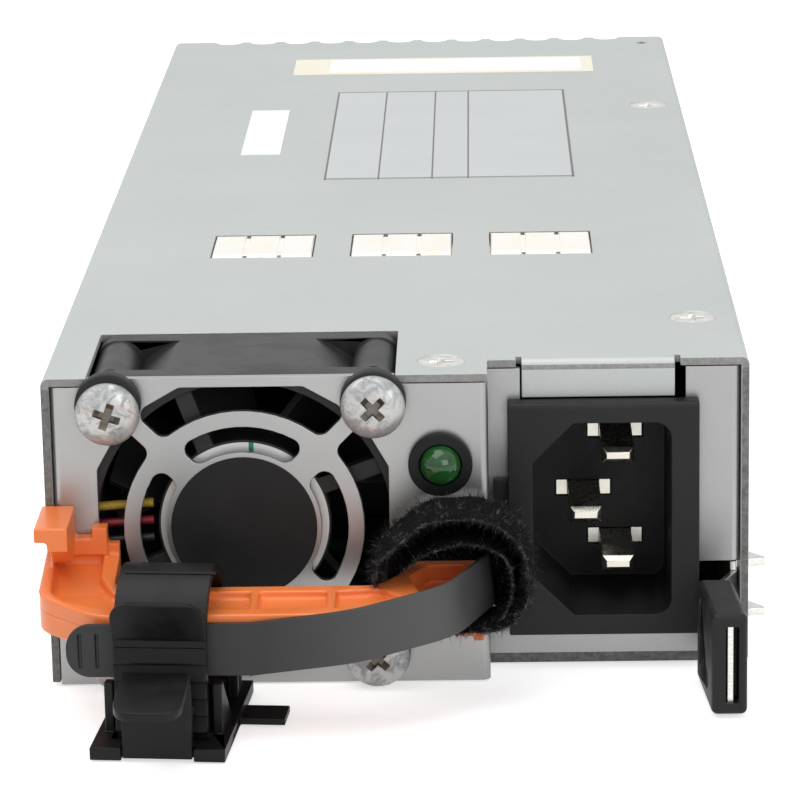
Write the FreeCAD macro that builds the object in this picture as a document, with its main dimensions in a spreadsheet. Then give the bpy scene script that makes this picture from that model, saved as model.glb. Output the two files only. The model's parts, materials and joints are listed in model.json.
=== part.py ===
import FreeCAD, Part

import math
import os

import Sketcher
from FreeCAD import Placement, Rotation, Vector

# A hot swap server power supply: a flat metal box with a fan, a mains inlet, a status lamp,
# a moulded handle, a side latch and, stowed on the handle, a cable strap and a cable clamp.
# Millimetres, +Z up, +Y from the front panel to the rear. The origin is the middle of the
# chassis's bottom face.

doc = FreeCAD.newDocument("power_supply")

# ---------------------------------------------------------------- driving dimensions
SIZES = {
    # metal box
    "plate": 1.0,
    "nest_gap": 0.1,
    "step_back": 6.4,
    "flap_tall": 3.95,
    "lamp_bay": 10.8,
    "inlet_inset": 2.4,
    "latch_bay": 6.2,
    "cover_lift": 0.3,
    "bend_radius": 1.0,
    "side_lip": 9.0,
    "tab_drop": 1.2,
    # fan bay
    "fan_depth": 20.0,
    "fan_inset": 5.2,
    "fan_hole_inset": 3.0,
    "fan_wall": 1.0,
    "fan_slack": 0.5,
    "hub_radius": 10.6,
    "blade_tip_gap": 0.6,
    "blade_count": 7.0,
    "blade_pitch": 38.0,
    "shaft_radius": 1.0,
    "shaft_play": 0.03,
    "grille_half": 17.7,
    "grille_mid": 14.0,
    "grille_flat": 7.5,
    "ring_outer": 14.7,
    "ring_inner": 12.7,
    "disc_radius": 9.5,
    "spoke_width": 2.2,
    "grille_fillet": 1.3,
    "inner_spoke_width": 3.4,
    "sticker_radius": 8.9,
    "sticker_thick": 0.15,
    "fan_hole_radius": 2.2,
    "grommet_radius": 3.98,
    "grommet_thick": 2.0,
    "fan_head_radius": 3.9,
    "fan_head_thick": 1.6,
    "fan_shank_radius": 1.7,
    # status lamp
    "lamp_side": 5.8,
    "lamp_up": 27.9,
    "lamp_radius": 2.5,
    "lamp_reach": 3.2,
    "bezel_radius": 3.9,
    "bezel_thick": 1.2,
    # mains inlet
    "inlet_up": 4.35,
    "inlet_margin": 2.6,
    "inlet_left_margin": 3.05,
    "inlet_right_margin": 3.45,
    "inlet_rim": 2.4,
    "socket_wide": 16.9,
    "socket_tall": 24.5,
    "socket_depth": 16.0,
    "socket_chamfer": 5.0,
    "inlet_back": 18.0,
    "pin_wide": 4.0,
    "pin_thick": 2.0,
    "pin_pitch": 14.0,
    "earth_offset": 4.0,
    "pin_recess": 4.0,
    # handle
    "handle_under": 11.0,
    "handle_tall": 4.5,
    "handle_root": 1.9,
    "handle_reach": 20.0,
    "bar_depth": 10.8,
    "handle_side": 0.2,
    "trough_deep": 1.0,
    "pocket_deep": 2.5,
    "band_under": 8.2,
    "band_tall": 6.5,
    "band_thick": 0.6,
    "band_gap": 0.2,
    "band_rise": 6.4,
    "band_start": 4.1,
    "band_turn": 26.0,
    "strap_left": 13.2,
    "strap_right": 4.1,
    "strap_under": 9.2,
    "strap_tall": 14.9,
    "strap_thick": 1.4,
    "strap_wide": 9.6,
    "strap_off": 2.0,
    # cable clamp
    "clamp_across": 16.0,
    "clamp_out": 15.06,
    "clamp_turn": 4.8,
    "clamp_wide": 16.0,
    "clamp_deep": 24.4,
    "loop_rear": 8.35,
    "clamp_plate": 1.6,
    "loop_wide": 11.0,
    "loop_thick": 1.0,
    "loop_radius": 8.25,
    "loop_top": 20.0,
    "tooth_pitch": 2.1,
    "tooth_deep": 0.6,
    "lip_up": 13.5,
    "lip_tall": 5.2,
    "lip_out": 2.4,
    "lever_wide": 8.2,
    "lever_pad": 8.0,
    "pad_long": 7.4,
    # side latch
    "leaf_thick": 0.8,
    "leaf_tall": 9.6,
    "leaf_up": 1.7,
    "leaf_pivot": 52.0,
    "lug_reach": 2.2,
    "lug_thick": 1.0,
    "lug_low": 5.0,
    "lug_high": 11.5,
    "tab_long": 14.1,
    "tab_wide": 4.3,
    "tab_tall": 12.6,
    "tab_under": 0.3,
    # circuit board
    "board_up": 6.0,
    "board_thick": 1.6,
    "board_setback": 34.0,
    "board_margin": 1.4,
    "tongue_wide": 44.0,
    "tongue_reach": 9.0,
    "tongue_across": 28.0,
    "standoff_radius": 2.5,
    # what stands on the board, from front to back
    "screw_zone": 7.5,
    "part_gap": 2.5,
    "line_ring": 7.5,
    "line_section": 5.0,
    "fuse_long": 6.0,
    "relay_long": 14.0,
    "bulk_radius": 9.5,
    "core_long": 28.0,
    "boost_ring": 10.0,
    "boost_section": 6.5,
    "sink_long": 52.0,
    "sink_gap": 6.0,
    "rear_zone": 24.0,
    "output_radius": 4.2,
    "output_tall": 18.0,
}

sheet = doc.addObject("Spreadsheet::Sheet", "sizes")
for row, (alias, number) in enumerate(SIZES.items(), start=1):
    sheet.set(f"A{row}", alias)
    sheet.set(f"B{row}", str(number))
    sheet.setAlias(f"B{row}", alias)
doc.recompute()


def text_of(size):
    return size.text if isinstance(size, Size) else f"({float(size)!r})"


def value_of(size):
    return size.value if isinstance(size, Size) else float(size)


class Size:
    """A length that comes from the sheet: its value, and the expression that binds it."""

    def __init__(self, text, value):
        self.text = text
        self.value = value

    def joined(self, sign, other, value):
        return Size(f"({self.text} {sign} {text_of(other)})", value)

    def __add__(self, other):
        return self.joined("+", other, self.value + value_of(other))

    def __radd__(self, other):
        return self + other

    def __sub__(self, other):
        return self.joined("-", other, self.value - value_of(other))

    def __rsub__(self, other):
        return Size(f"({text_of(other)} - {self.text})", value_of(other) - self.value)

    def __mul__(self, other):
        return self.joined("*", other, self.value * value_of(other))

    def __rmul__(self, other):
        return self * other

    def __truediv__(self, other):
        return self.joined("/", other, self.value / value_of(other))

    def __neg__(self):
        return Size(f"(0 - {self.text})", -self.value)


class Sheet:
    """The sheet's sizes by name."""


s = Sheet()
for alias, number in SIZES.items():
    setattr(s, alias, Size(f"sizes.{alias}", number))

s.inlet_tall = s.socket_tall + 2 * s.inlet_margin
s.inlet_wide = s.inlet_left_margin + s.socket_wide + s.inlet_right_margin
# The case is as high as the inlet and its flap need, and the fan fills that height.
s.height = s.inlet_up + s.inlet_tall + s.flap_tall + s.plate
s.fan_size = s.height - s.plate
s.fan_pitch = s.fan_size - 2 * s.fan_hole_inset
s.fan_bore = s.fan_size - 2 * s.fan_wall
# It is as wide as the fan, the lamp, the inlet and the latch side by side.
s.fan_bay = s.fan_inset + s.fan_size + s.lamp_bay
s.width = s.fan_bay + s.inlet_inset + s.inlet_wide + s.latch_bay
# It is as long as the fan's room and the rows of parts on the board.
s.line_reach = s.line_ring + s.line_section
s.boost_reach = s.boost_ring + s.boost_section
s.input_rows = s.screw_zone + 2 * s.line_reach + s.fuse_long + s.relay_long + 3 * s.part_gap
s.length = s.board_setback + s.input_rows + 2 * s.sink_long + s.sink_gap + s.rear_zone

# ---------------------------------------------------------------- places that many pieces share
left = -s.width / 2
right = s.width / 2
front = -s.length / 2
back = s.length / 2
step = left + s.fan_bay
recess = front + s.step_back
base_left = left + s.plate + s.nest_gap
base_right = right - s.plate - s.nest_gap
base_top = s.height - s.plate - s.nest_gap
fan_x = left + s.fan_inset + s.fan_size / 2
fan_z = s.height - s.fan_size / 2
fan_y = front + s.plate
lamp_x = step - s.lamp_side
inlet_left = step + s.inlet_inset
inlet_x = inlet_left + s.inlet_wide / 2
inlet_z = s.inlet_up + s.inlet_tall / 2
inlet_y = recess - s.inlet_rim
board_top = s.board_up + s.board_thick
board_front = front + s.board_setback
power_start = board_front + s.input_rows
output_start = power_start + s.sink_long + s.sink_gap
far = step - s.handle_side
wall_inside = base_right

nodes = {}


def keep(name, thing):
    """Name a finished sub-part. Its label is its file's name."""
    thing.Label = name
    nodes[name] = thing
    return thing


# ---------------------------------------------------------------- ways of making shapes
def bind(thing, prop, size):
    setattr(thing, prop, value_of(size))
    if isinstance(size, Size):
        thing.setExpression(prop, size.text)


def put(thing, at, rotation=None):
    spot = Vector(*[value_of(size) for size in at])
    thing.Placement = Placement(spot, rotation or Rotation())
    for axis, size in zip("xyz", at):
        if isinstance(size, Size):
            thing.setExpression(f"Placement.Base.{axis}", size.text)
    return thing


def box(low, high):
    """A box between two corners."""
    thing = doc.addObject("Part::Box", "block")
    for prop, start, end in zip(("Length", "Width", "Height"), low, high):
        bind(thing, prop, end - start)
    return put(thing, low)


TURNS = {
    "X": Rotation(Vector(0, 1, 0), 90),
    "Y": Rotation(Vector(1, 0, 0), -90),
    "Z": Rotation(),
}


def rod(at, axis, radius, length):
    """A cylinder that starts at a point and runs along +X, +Y or +Z."""
    thing = doc.addObject("Part::Cylinder", "rod")
    bind(thing, "Radius", radius)
    bind(thing, "Height", length)
    return put(thing, at, TURNS[axis])


def taper(at, axis, radius_start, radius_end, length):
    thing = doc.addObject("Part::Cone", "taper")
    bind(thing, "Radius1", radius_start)
    bind(thing, "Radius2", radius_end)
    bind(thing, "Height", length)
    return put(thing, at, TURNS[axis])


def torus(at, rotation, ring, section):
    thing = doc.addObject("Part::Torus", "ring")
    bind(thing, "Radius1", ring)
    bind(thing, "Radius2", section)
    return put(thing, at, rotation)


def joined(*things):
    thing = doc.addObject("Part::MultiFuse", "joined")
    thing.Shapes = list(things)
    thing.Refine = True
    return thing


def grouped(*things):
    thing = doc.addObject("Part::Compound", "group")
    thing.Links = list(things)
    return thing


def less(thing, *tools):
    """A thing with the tools cut away from it."""
    result = doc.addObject("Part::Cut", "less")
    result.Base = thing
    result.Tool = tools[0] if len(tools) == 1 else grouped(*tools)
    result.Refine = True
    return result


def common(thing, other):
    """What two things share."""
    shared = doc.addObject("Part::MultiCommon", "shared")
    shared.Shapes = [thing, other]
    return shared


def tube(at, axis, outer, inner, length):
    return less(rod(at, axis, outer, length), rod(at, axis, inner, length))


def draw(sketch, outline):
    """A closed outline of straight sides, or a circle (x, y, radius), fixed by its sizes."""
    first = sketch.GeometryCount
    if len(outline) == 3 and not isinstance(outline[0], tuple):
        x, y, radius = outline
        centre = Vector(value_of(x), value_of(y), 0)
        sketch.addGeometry(Part.Circle(centre, Vector(0, 0, 1), value_of(radius)), False)
        fix(sketch, first, 3, x, y)
        index = sketch.addConstraint(Sketcher.Constraint("Radius", first, value_of(radius)))
        if isinstance(radius, Size):
            sketch.setExpression(f"Constraints[{index}]", radius.text)
        return
    spots = [Vector(value_of(x), value_of(y), 0) for x, y in outline]
    count = len(spots)
    for i in range(count):
        sketch.addGeometry(Part.LineSegment(spots[i], spots[(i + 1) % count]), False)
    for i in range(count):
        joint = Sketcher.Constraint("Coincident", first + i, 2, first + (i + 1) % count, 1)
        sketch.addConstraint(joint)
    for i, (x, y) in enumerate(outline):
        fix(sketch, first + i, 1, x, y)


def fix(sketch, shape, vertex, x, y):
    for kind, size in (("DistanceX", x), ("DistanceY", y)):
        rule = Sketcher.Constraint(kind, -1, 1, shape, vertex, value_of(size))
        index = sketch.addConstraint(rule)
        if isinstance(size, Size):
            sketch.setExpression(f"Constraints[{index}]", size.text)


class Piece:
    """A PartDesign body made of pads, pockets and fillets on its own origin planes."""

    def __init__(self, name, kept=True):
        self.body = doc.addObject("PartDesign::Body", name)
        if kept:
            keep(name, self.body)

    def sketch(self, plane, level, outlines):
        sketch = self.body.newObject("Sketcher::SketchObject", "outline")
        for support in self.body.Origin.OriginFeatures:
            if support.Role == plane + "_Plane":
                sketch.AttachmentSupport = [(support, "")]
        sketch.MapMode = "FlatFace"
        offset = level * (-1 if plane == "XZ" else 1)
        sketch.AttachmentOffset = Placement(Vector(0, 0, value_of(offset)), Rotation())
        if isinstance(offset, Size):
            sketch.setExpression("AttachmentOffset.Base.z", offset.text)
        for outline in outlines:
            draw(sketch, outline)
        return sketch

    def feature(self, kind, plane, level, depth, outlines):
        sketch = self.sketch(plane, level, outlines)
        feature = self.body.newObject("PartDesign::" + kind, kind.lower())
        feature.Profile = sketch
        bind(feature, "Length", depth)
        feature.Reversed = (plane == "XZ") == (kind == "Pad")
        doc.recompute()
        return feature

    def pad(self, plane, level, depth, *outlines):
        """Add the outlines' shape from a level towards the plane's positive axis."""
        self.feature("Pad", plane, level, depth, outlines)

    def pocket(self, plane, level, depth, *outlines):
        """Cut the outlines' shape from a level towards the plane's positive axis."""
        before = self.body.Shape.Volume
        self.feature("Pocket", plane, level, depth, outlines)
        if not self.body.Shape.Volume < before:
            raise RuntimeError(self.body.Label + ": a pocket cut nothing")

    def fillet(self, radius, along, spots):
        """Round the straight edges along an axis that pass through the given spots."""
        before = self.body.Tip
        names = edge_names(before.Shape, along, spots)
        feature = self.body.newObject("PartDesign::Fillet", "fillet")
        feature.Base = (before, names)
        bind(feature, "Radius", radius)
        self.body.Tip = feature
        doc.recompute()


def straight_edges(shape, along):
    """Name and place of each straight edge along X, Y or Z; the place is its other two coordinates."""
    index = "XYZ".index(along)
    others = [i for i in range(3) if i != index]
    found = []
    for number, edge in enumerate(shape.Edges, start=1):
        ends = [vertex.Point for vertex in edge.Vertexes]
        if len(ends) != 2 or not isinstance(edge.Curve, Part.Line):
            continue
        if abs(ends[0][index] - ends[1][index]) < 1e-3:
            continue
        if any(abs(ends[0][i] - ends[1][i]) > 1e-4 for i in others):
            continue
        found.append((f"Edge{number}", tuple(ends[0][i] for i in others)))
    return found


def edge_names(shape, along, spots):
    """Names of the edges along X, Y or Z whose other two coordinates match a spot."""
    wanted = [tuple(value_of(size) for size in spot) for spot in spots]
    names = []
    for name, spot in straight_edges(shape, along):
        if any(math.dist(spot, want) < 0.02 for want in wanted):
            names.append(name)
    if not names:
        raise RuntimeError("no edge was found to round")
    return names


def rect(x_low, y_low, x_high, y_high):
    return [(x_low, y_low), (x_high, y_low), (x_high, y_high), (x_low, y_high)]


def rounded_wire(points, radii):
    """Straight runs in the XY plane, joined by tangent arcs of the given radii."""
    spots = [Vector(value_of(x), value_of(y), 0) for x, y in points]
    edges = []
    start = spots[0]
    for corner, after, radius in zip(spots[1:-1], spots[2:], radii):
        arrive = (corner - start).normalize()
        leave = (after - corner).normalize()
        turn = arrive.getAngle(leave)
        cut = radius * math.tan(turn / 2)
        enter = corner - arrive * cut
        exit_spot = corner + leave * cut
        middle = (leave - arrive).normalize()
        centre = corner + middle * (radius / math.cos(turn / 2))
        edges.append(Part.LineSegment(start, enter).toShape())
        edges.append(Part.Arc(enter, centre - middle * radius, exit_spot).toShape())
        start = exit_spot
    edges.append(Part.LineSegment(start, spots[-1]).toShape())
    return Part.Wire(edges)


def pipe(points, radius, bend):
    """A round wire along a path of straight runs joined by tangent arcs."""
    spots = [Vector(*[value_of(size) for size in point]) for point in points]
    edges = []
    start = spots[0]
    for corner, after in zip(spots[1:-1], spots[2:]):
        arrive = (corner - start).normalize()
        leave = (after - corner).normalize()
        turn = arrive.getAngle(leave)
        cut = bend * math.tan(turn / 2)
        middle = (leave - arrive).normalize()
        centre = corner + middle * (bend / math.cos(turn / 2))
        enter = corner - arrive * cut
        exit_spot = corner + leave * cut
        edges.append(Part.LineSegment(start, enter).toShape())
        edges.append(Part.Arc(enter, centre - middle * bend, exit_spot).toShape())
        start = exit_spot
    edges.append(Part.LineSegment(start, spots[-1]).toShape())
    path = Part.Wire(edges)
    section = Part.Circle(spots[0], spots[1] - spots[0], radius).toShape()
    return path.makePipeShell([Part.Wire([section])], True, False)


def shaped(name, shape, placement=None):
    """A sub-part whose shape is set directly."""
    thing = doc.addObject("Part::Feature", name)
    thing.Shape = shape
    thing.Placement = placement or Placement()
    return keep(name, thing)


# ---------------------------------------------------------------- metal box
COVER_SCREWS = [(step - 5.6, front + 6.6), (right - 5.9, front + 26.8), (right - 5.4, back - 61.9)]
DIMPLE_RADIUS = 3.0
DIMPLE_DEEP = 1.3
COVER_SHANK = 1.5
FAN_RAISE = 0.4


def clip_places():
    return [i * 19.0 - 0.4 for i in (-1, 0, 1)]


clip_y = front + 69.3


def fan_corners():
    half = s.fan_pitch / 2
    return [(fan_x + i * half, fan_z + k * half) for i in (-1, 1) for k in (-1, 1)]


def diagonal_bar(length, width, tilt):
    """A bar through the fan's centre at 45 degrees, rising to the right or to the left."""
    reach = length * math.sqrt(0.5) / 2
    side = width * math.sqrt(0.5) / 2
    corners = [(-reach - side, -reach + side), (-reach + side, -reach - side)]
    corners += [(reach + side, reach - side), (reach - side, reach + side)]
    return [(fan_x + tilt * x, fan_z + z) for x, z in corners]


def grille_window():
    flat, mid, half = s.grille_flat, s.grille_mid, s.grille_half
    ring = [(flat, half), (mid, mid), (half, flat), (half, -flat), (mid, -mid), (flat, -half)]
    ring += [(-flat, -half), (-mid, -mid), (-half, -flat), (-half, flat), (-mid, mid), (-flat, half)]
    return [(fan_x + x, fan_z + z) for x, z in ring]


def chassis_base():
    base = Piece("chassis_base")
    gap = s.nest_gap
    floor = [(base_left, front), (step, front), (step, recess), (base_right, recess)]
    floor += [(base_right, back), (base_left, back)]
    base.pad("XY", 0, s.plate, floor)
    fan_left = fan_x - s.fan_size / 2 + FAN_RAISE
    fan_right = fan_x + s.fan_size / 2 - FAN_RAISE
    face = [(base_left, 0), (step, 0), (step, base_top), (fan_right, base_top)]
    face += [(fan_right, s.height), (fan_left, s.height), (fan_left, base_top), (base_left, base_top)]
    base.pad("XZ", front, s.plate, face)
    base.pad("XY", 0, base_top, rect(step - s.plate, front, step, recess + s.plate))
    base.pad("XZ", recess, s.plate, rect(step - s.plate, 0, base_right, base_top))
    base.fillet(s.bend_radius, "Z", [(base_left, front), (step, front), (base_right, recess)])
    leaf_end = front + s.leaf_pivot + 8
    base.pad("XY", 0, s.side_lip, rect(base_left, front, base_left + s.plate, back))
    base.pad("XY", 0, s.side_lip, rect(base_right - s.plate, leaf_end, base_right, back))
    base.pad("XZ", back - s.plate, s.plate, rect(base_left, 0, base_right, base_top))
    (front_x, front_y), *side_spots = COVER_SCREWS
    tab_top = s.height - s.plate - s.tab_drop - gap
    tab = rect(front_x - 4, front, front_x + 4, front_y + 4)
    base.pad("XY", tab_top - s.plate, s.plate, tab)
    post_places = [side_spots[0][0] - 4, base_right - s.plate]
    for (x, y), post_x in zip(side_spots, post_places):
        base.pad("XY", 0, tab_top, rect(post_x, y - 1.4, post_x + s.plate, y + 4))
        base.pad("XY", tab_top - s.plate, s.plate, rect(x - 4, y - 4, base_right, y + 4))
    for x, y in COVER_SCREWS:
        base.pocket("XY", tab_top - s.plate, s.plate, (x, y, COVER_SHANK + gap))
    base.pocket("XZ", front, s.plate, grille_window())
    holes = [(x, z, s.fan_hole_radius) for x, z in fan_corners()]
    holes.append((lamp_x, s.lamp_up, s.lamp_radius + 0.6))
    base.pocket("XZ", front, s.plate, *holes)
    span = s.grille_mid * 2 * math.sqrt(2) + 1
    for tilt in (1, -1):
        base.pad("XZ", front, s.plate, diagonal_bar(span, s.spoke_width, tilt))
        inner_span = s.ring_inner + s.ring_outer
        base.pad("XZ", front, s.plate, diagonal_bar(inner_span, s.inner_spoke_width, tilt))
    base.pad("XZ", front, s.plate, (fan_x, fan_z, s.disc_radius))
    base.pad("XZ", front, s.plate, (fan_x, fan_z, s.ring_outer), (fan_x, fan_z, s.ring_inner))
    centre = (value_of(fan_x), value_of(fan_z))
    nearest, furthest = s.disc_radius.value - 0.3, s.grille_mid.value * math.sqrt(2) + 0.5
    spots = [spot for _, spot in straight_edges(base.body.Shape, "Y")]
    corners = [spot for spot in spots if nearest < math.dist(spot, centre) < furthest]
    base.fillet(s.grille_fillet, "Y", corners)
    throat = s.inlet_wide - 3.2
    opening = rect(inlet_x - throat / 2, s.inlet_up + 1.2, inlet_x + throat / 2, base_top)
    base.pocket("XZ", recess, s.plate, opening)
    latch_door = rect(inlet_left + s.inlet_wide, s.plate, base_right, s.leaf_up + s.leaf_tall + 1.7)
    base.pocket("XZ", recess, s.plate, latch_door)
    rear = back - s.plate
    tongue_x = left + s.tongue_across
    slot_half = s.tongue_wide / 2 + 1
    slot = rect(tongue_x - slot_half, s.board_up - 2, tongue_x + slot_half, board_top + 4)
    base.pocket("XZ", rear, s.plate, slot)
    vents = []
    for row in range(4):
        for column in range(-7, 8):
            shift = 0 if row % 2 else -2.5
            vents.append((5 * column + shift, s.height - 23 + 5 * row, 1.9))
    base.pocket("XZ", rear, s.plate, *vents)
    return base


def top_cover():
    cover = Piece("top_cover")
    inner = s.plate
    arch = [(left, s.cover_lift), (left + inner, s.cover_lift), (left + inner, s.height - inner)]
    arch += [(right - inner, s.height - inner), (right - inner, s.cover_lift)]
    arch += [(right, s.cover_lift), (right, s.height), (left, s.height)]
    cover.pad("XZ", front, s.length, arch)
    cover.fillet(s.bend_radius, "Y", [(left, s.height), (right, s.height)])
    lid = s.height - inner
    corner = rect(step, front - 1, right + 1, recess)
    cover.pocket("XY", -1, s.height + 2, corner)
    fan_back = front + s.plate + s.fan_depth + s.fan_slack
    fan_side = fan_x - s.fan_size / 2 + FAN_RAISE - s.nest_gap
    fan_far = fan_x + s.fan_size / 2 - FAN_RAISE + s.nest_gap
    cover.pocket("XY", lid, inner + 1, rect(fan_side, front - 1, fan_far, fan_back))
    windows = []
    for x in clip_places():
        windows.append(rect(x - 7.0, clip_y - 6.8, x + 7.0, clip_y + 6.8))
    cover.pocket("XY", lid, inner + 1, *windows)
    notches = [(6.02 * (i - 5.5) - 0.3, back, 2.2) for i in range(12)]
    cover.pocket("XY", lid, inner + 1, *notches, (right - 4.0, back - 6.0, 0.9))
    flap_left = inlet_left + 1.8
    flap_wide = 18.7
    flap = rect(flap_left, inlet_z + s.inlet_tall / 2 + 0.15, flap_left + flap_wide, lid)
    cover.pad("XZ", recess, inner, flap)
    reliefs = []
    for x in (flap_left - 0.7, flap_left + flap_wide):
        reliefs.append(rect(x, recess - 1, x + 0.7, recess + 1.6))
    cover.pocket("XY", lid, inner + 1, *reliefs)
    top = s.height
    steps = [(-1, -1.2), (0, -1.2), (0.1, -0.7), (0.35, -0.35), (0.7, -0.1), (1.2, 0), (1.2, 1), (-1, 1)]
    bend = [(recess + y, top + z) for y, z in steps]
    cover.pocket("YZ", flap_left, flap_wide, bend)
    slots = []
    for low in (s.lug_low, s.lug_high):
        lug_front = front + 7.5
        slots.append(rect(lug_front, low - 0.5, lug_front + 7.8, low + s.lug_thick + 0.5))
    cover.pocket("YZ", right - inner, inner + 1, *slots)
    body = cover.body
    dishes = []
    wells = []
    for x, y in COVER_SCREWS:
        low = s.height - DIMPLE_DEEP
        floor = low - 0.8
        dishes.append(taper((x, y, floor), "Z", COVER_SHANK + 0.9, DIMPLE_RADIUS + 0.9, lid - floor))
        wells.append(taper((x, y, low), "Z", COVER_SHANK + 0.05, DIMPLE_RADIUS + 0.05, DIMPLE_DEEP))
        wells.append(rod((x, y, floor - 1), "Z", COVER_SHANK + 0.1, 4))
    body.Label = "cover_sheet"
    keep("top_cover", less(joined(body, *dishes), *wells))


def cross_recess(at, axis, size, depth):
    """The two crossed slots of a screw head, cut inwards from the head's face."""
    x, y, z = at
    arm = size * 0.28
    halves = ((size, arm), (arm, size))
    if axis == "Z":
        return [box((x - a, y - b, z - depth), (x + a, y + b, z + 0.1)) for a, b in halves]
    return [box((x - a, y - 0.1, z - b), (x + a, y + depth, z + b)) for a, b in halves]


def cover_screws():
    screws = []
    for x, y in COVER_SCREWS:
        top = s.height - 0.15
        sink = DIMPLE_DEEP - 0.2
        head = taper((x, y, top - sink), "Z", COVER_SHANK, DIMPLE_RADIUS - 0.15, sink)
        shank = rod((x, y, top - sink - 4), "Z", COVER_SHANK, 4.1)
        screws.append(less(joined(head, shank), *cross_recess((x, y, top), "Z", 1.5, 0.7)))
    keep("cover_screws", grouped(*screws))


def emi_clips():
    """Spring contact strips: a clip under each window, with three raised fingers."""
    clips = []
    lid = s.height - s.plate
    y = clip_y
    for x in clip_places():
        frame = box((x - 9, y - 8.8, lid - 0.35), (x + 9, y + 8.8, lid - 0.05))
        parts = [frame]
        for i in (-1, 0, 1):
            mid = x + i * 4.7
            arch = box((mid - 2.1, y - 6.6, lid - 0.2), (mid + 2.1, y + 6.6, lid + 0.9))
            crown = box((mid - 2.0, y - 5.4, lid + 0.85), (mid + 2.0, y + 5.4, lid + 1.15))
            parts += [arch, crown]
        clips.append(joined(*parts))
    keep("emi_clips", grouped(*clips))


def labels():
    """Self-adhesive labels and tape on the cover, all without print."""
    thick = 0.1
    skins = {
        "rating_label": (30.3, 112.0, 67.4, 179.5),
        "small_label": (17.0, 130.4, 23.0, 165.0),
        "tape_strip": (22.2, 195.5, 72.8, 209.5),
    }
    for name, (x_low, y_low, x_high, y_high) in skins.items():
        low = (left + x_low, front + y_low, s.height)
        high = (left + x_high, front + y_high, s.height + thick)
        keep(name, box(low, high))
    low = (left + 28.3, front + 197.0, s.height + thick)
    high = (left + 70.8, front + 208.0, s.height + thick + thick)
    keep("paper_strip", box(low, high))


# ---------------------------------------------------------------- fan
def fan_frame():
    half = s.fan_size / 2
    low = (fan_x - half, fan_y, fan_z - half)
    flange = 3.0
    rims = []
    for start in (fan_y, fan_y + s.fan_depth - flange):
        plate = Piece("fan_flange", kept=False)
        plate.pad("XZ", start, flange, rect(low[0], low[2], fan_x + half, fan_z + half))
        corners = [(x, z) for x in (low[0], fan_x + half) for z in (low[2], fan_z + half)]
        plate.fillet(2.5, "Y", corners)
        rims.append(plate.body)
    bore = s.fan_bore / 2
    barrel = rod((fan_x, fan_y, fan_z), "Y", half + 1.8, s.fan_depth)
    square = box(low, (fan_x + half, fan_y + s.fan_depth, fan_z + half))
    barrel = common(barrel, square)
    posts = [rod((x, fan_y, z), "Y", 2.9, s.fan_depth) for x, z in fan_corners()]
    shell = joined(*rims, barrel, *posts)
    cuts = [rod((fan_x, fan_y - 1, fan_z), "Y", bore, s.fan_depth + 2)]
    cuts += [rod((x, fan_y - 1, z), "Y", 1.95, s.fan_depth + 2) for x, z in fan_corners()]
    notch_low = (fan_x - half - 1, fan_y - 1, fan_z - 4)
    cuts.append(box(notch_low, (fan_x - bore + 0.5, fan_y + 2.8, fan_z + 4)))
    shell = less(shell, *cuts)
    hub = rod((fan_x, fan_y + 0.8, fan_z), "Y", s.hub_radius, 1.8)
    holder = rod((fan_x, fan_y + 0.8, fan_z), "Y", 3.2, 13)
    arms = []
    for turn in (20, 110, 200, 290):
        arm = box((0, 0, -1.1), (bore - s.hub_radius + 2, 2.0, 1.1))
        dx = (s.hub_radius - 1) * math.cos(math.radians(turn))
        dz = (s.hub_radius - 1) * math.sin(math.radians(turn))
        arms.append(put(arm, (fan_x + dx, fan_y + 0.8, fan_z + dz), Rotation(Vector(0, -1, 0), turn)))
    core = joined(hub, holder, *arms)
    core = less(core, rod((fan_x, fan_y + 2.6, fan_z), "Y", 2.6, 12))
    keep("fan_frame", joined(shell, core))


def fan_rotor():
    cup_depth = 14.4
    start = fan_y + 3.2
    blade_deep = 12.0
    tip = s.fan_bore / 2 - s.blade_tip_gap
    wall = rod((fan_x, start, fan_z), "Y", s.hub_radius - 0.4, cup_depth)
    hollow = rod((fan_x, start - 1, fan_z), "Y", s.hub_radius - 1.5, cup_depth - 0.6)
    boss = rod((fan_x, start + cup_depth - 3.2, fan_z), "Y", 2.2, 3.0)
    cup = joined(less(wall, hollow), boss)
    bore = rod((fan_x, start, fan_z), "Y", s.shaft_radius, cup_depth - 0.8)
    cup = less(cup, bore)
    blades = []
    count = int(s.blade_count.value)
    for i in range(count):
        turn = 360.0 * i / count
        blade = box((0, 0, 0), (tip - s.hub_radius + 1.2, 1.0, blade_deep * 0.95))
        about = Rotation(Vector(0, -1, 0), turn)
        pitched = about.multiply(Rotation(Vector(1, 0, 0), 90 - s.blade_pitch.value))
        offset = pitched.multVec(Vector(0, 0, -blade_deep * 0.475))
        inner = value_of(s.hub_radius) - 1.0
        dx = inner * math.cos(math.radians(turn)) + offset.x
        dz = inner * math.sin(math.radians(turn)) + offset.z
        at = (fan_x + dx, start + cup_depth / 2 + offset.y, fan_z + dz)
        blades.append(put(blade, at, pitched))
    ring = tube((fan_x, start + 0.3, fan_z), "Y", tip, s.hub_radius - 0.9, cup_depth - 0.6)
    swept = doc.addObject("Part::Common", "blades")
    swept.Base = grouped(*blades)
    swept.Tool = ring
    keep("fan_rotor", joined(cup, swept))


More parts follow.
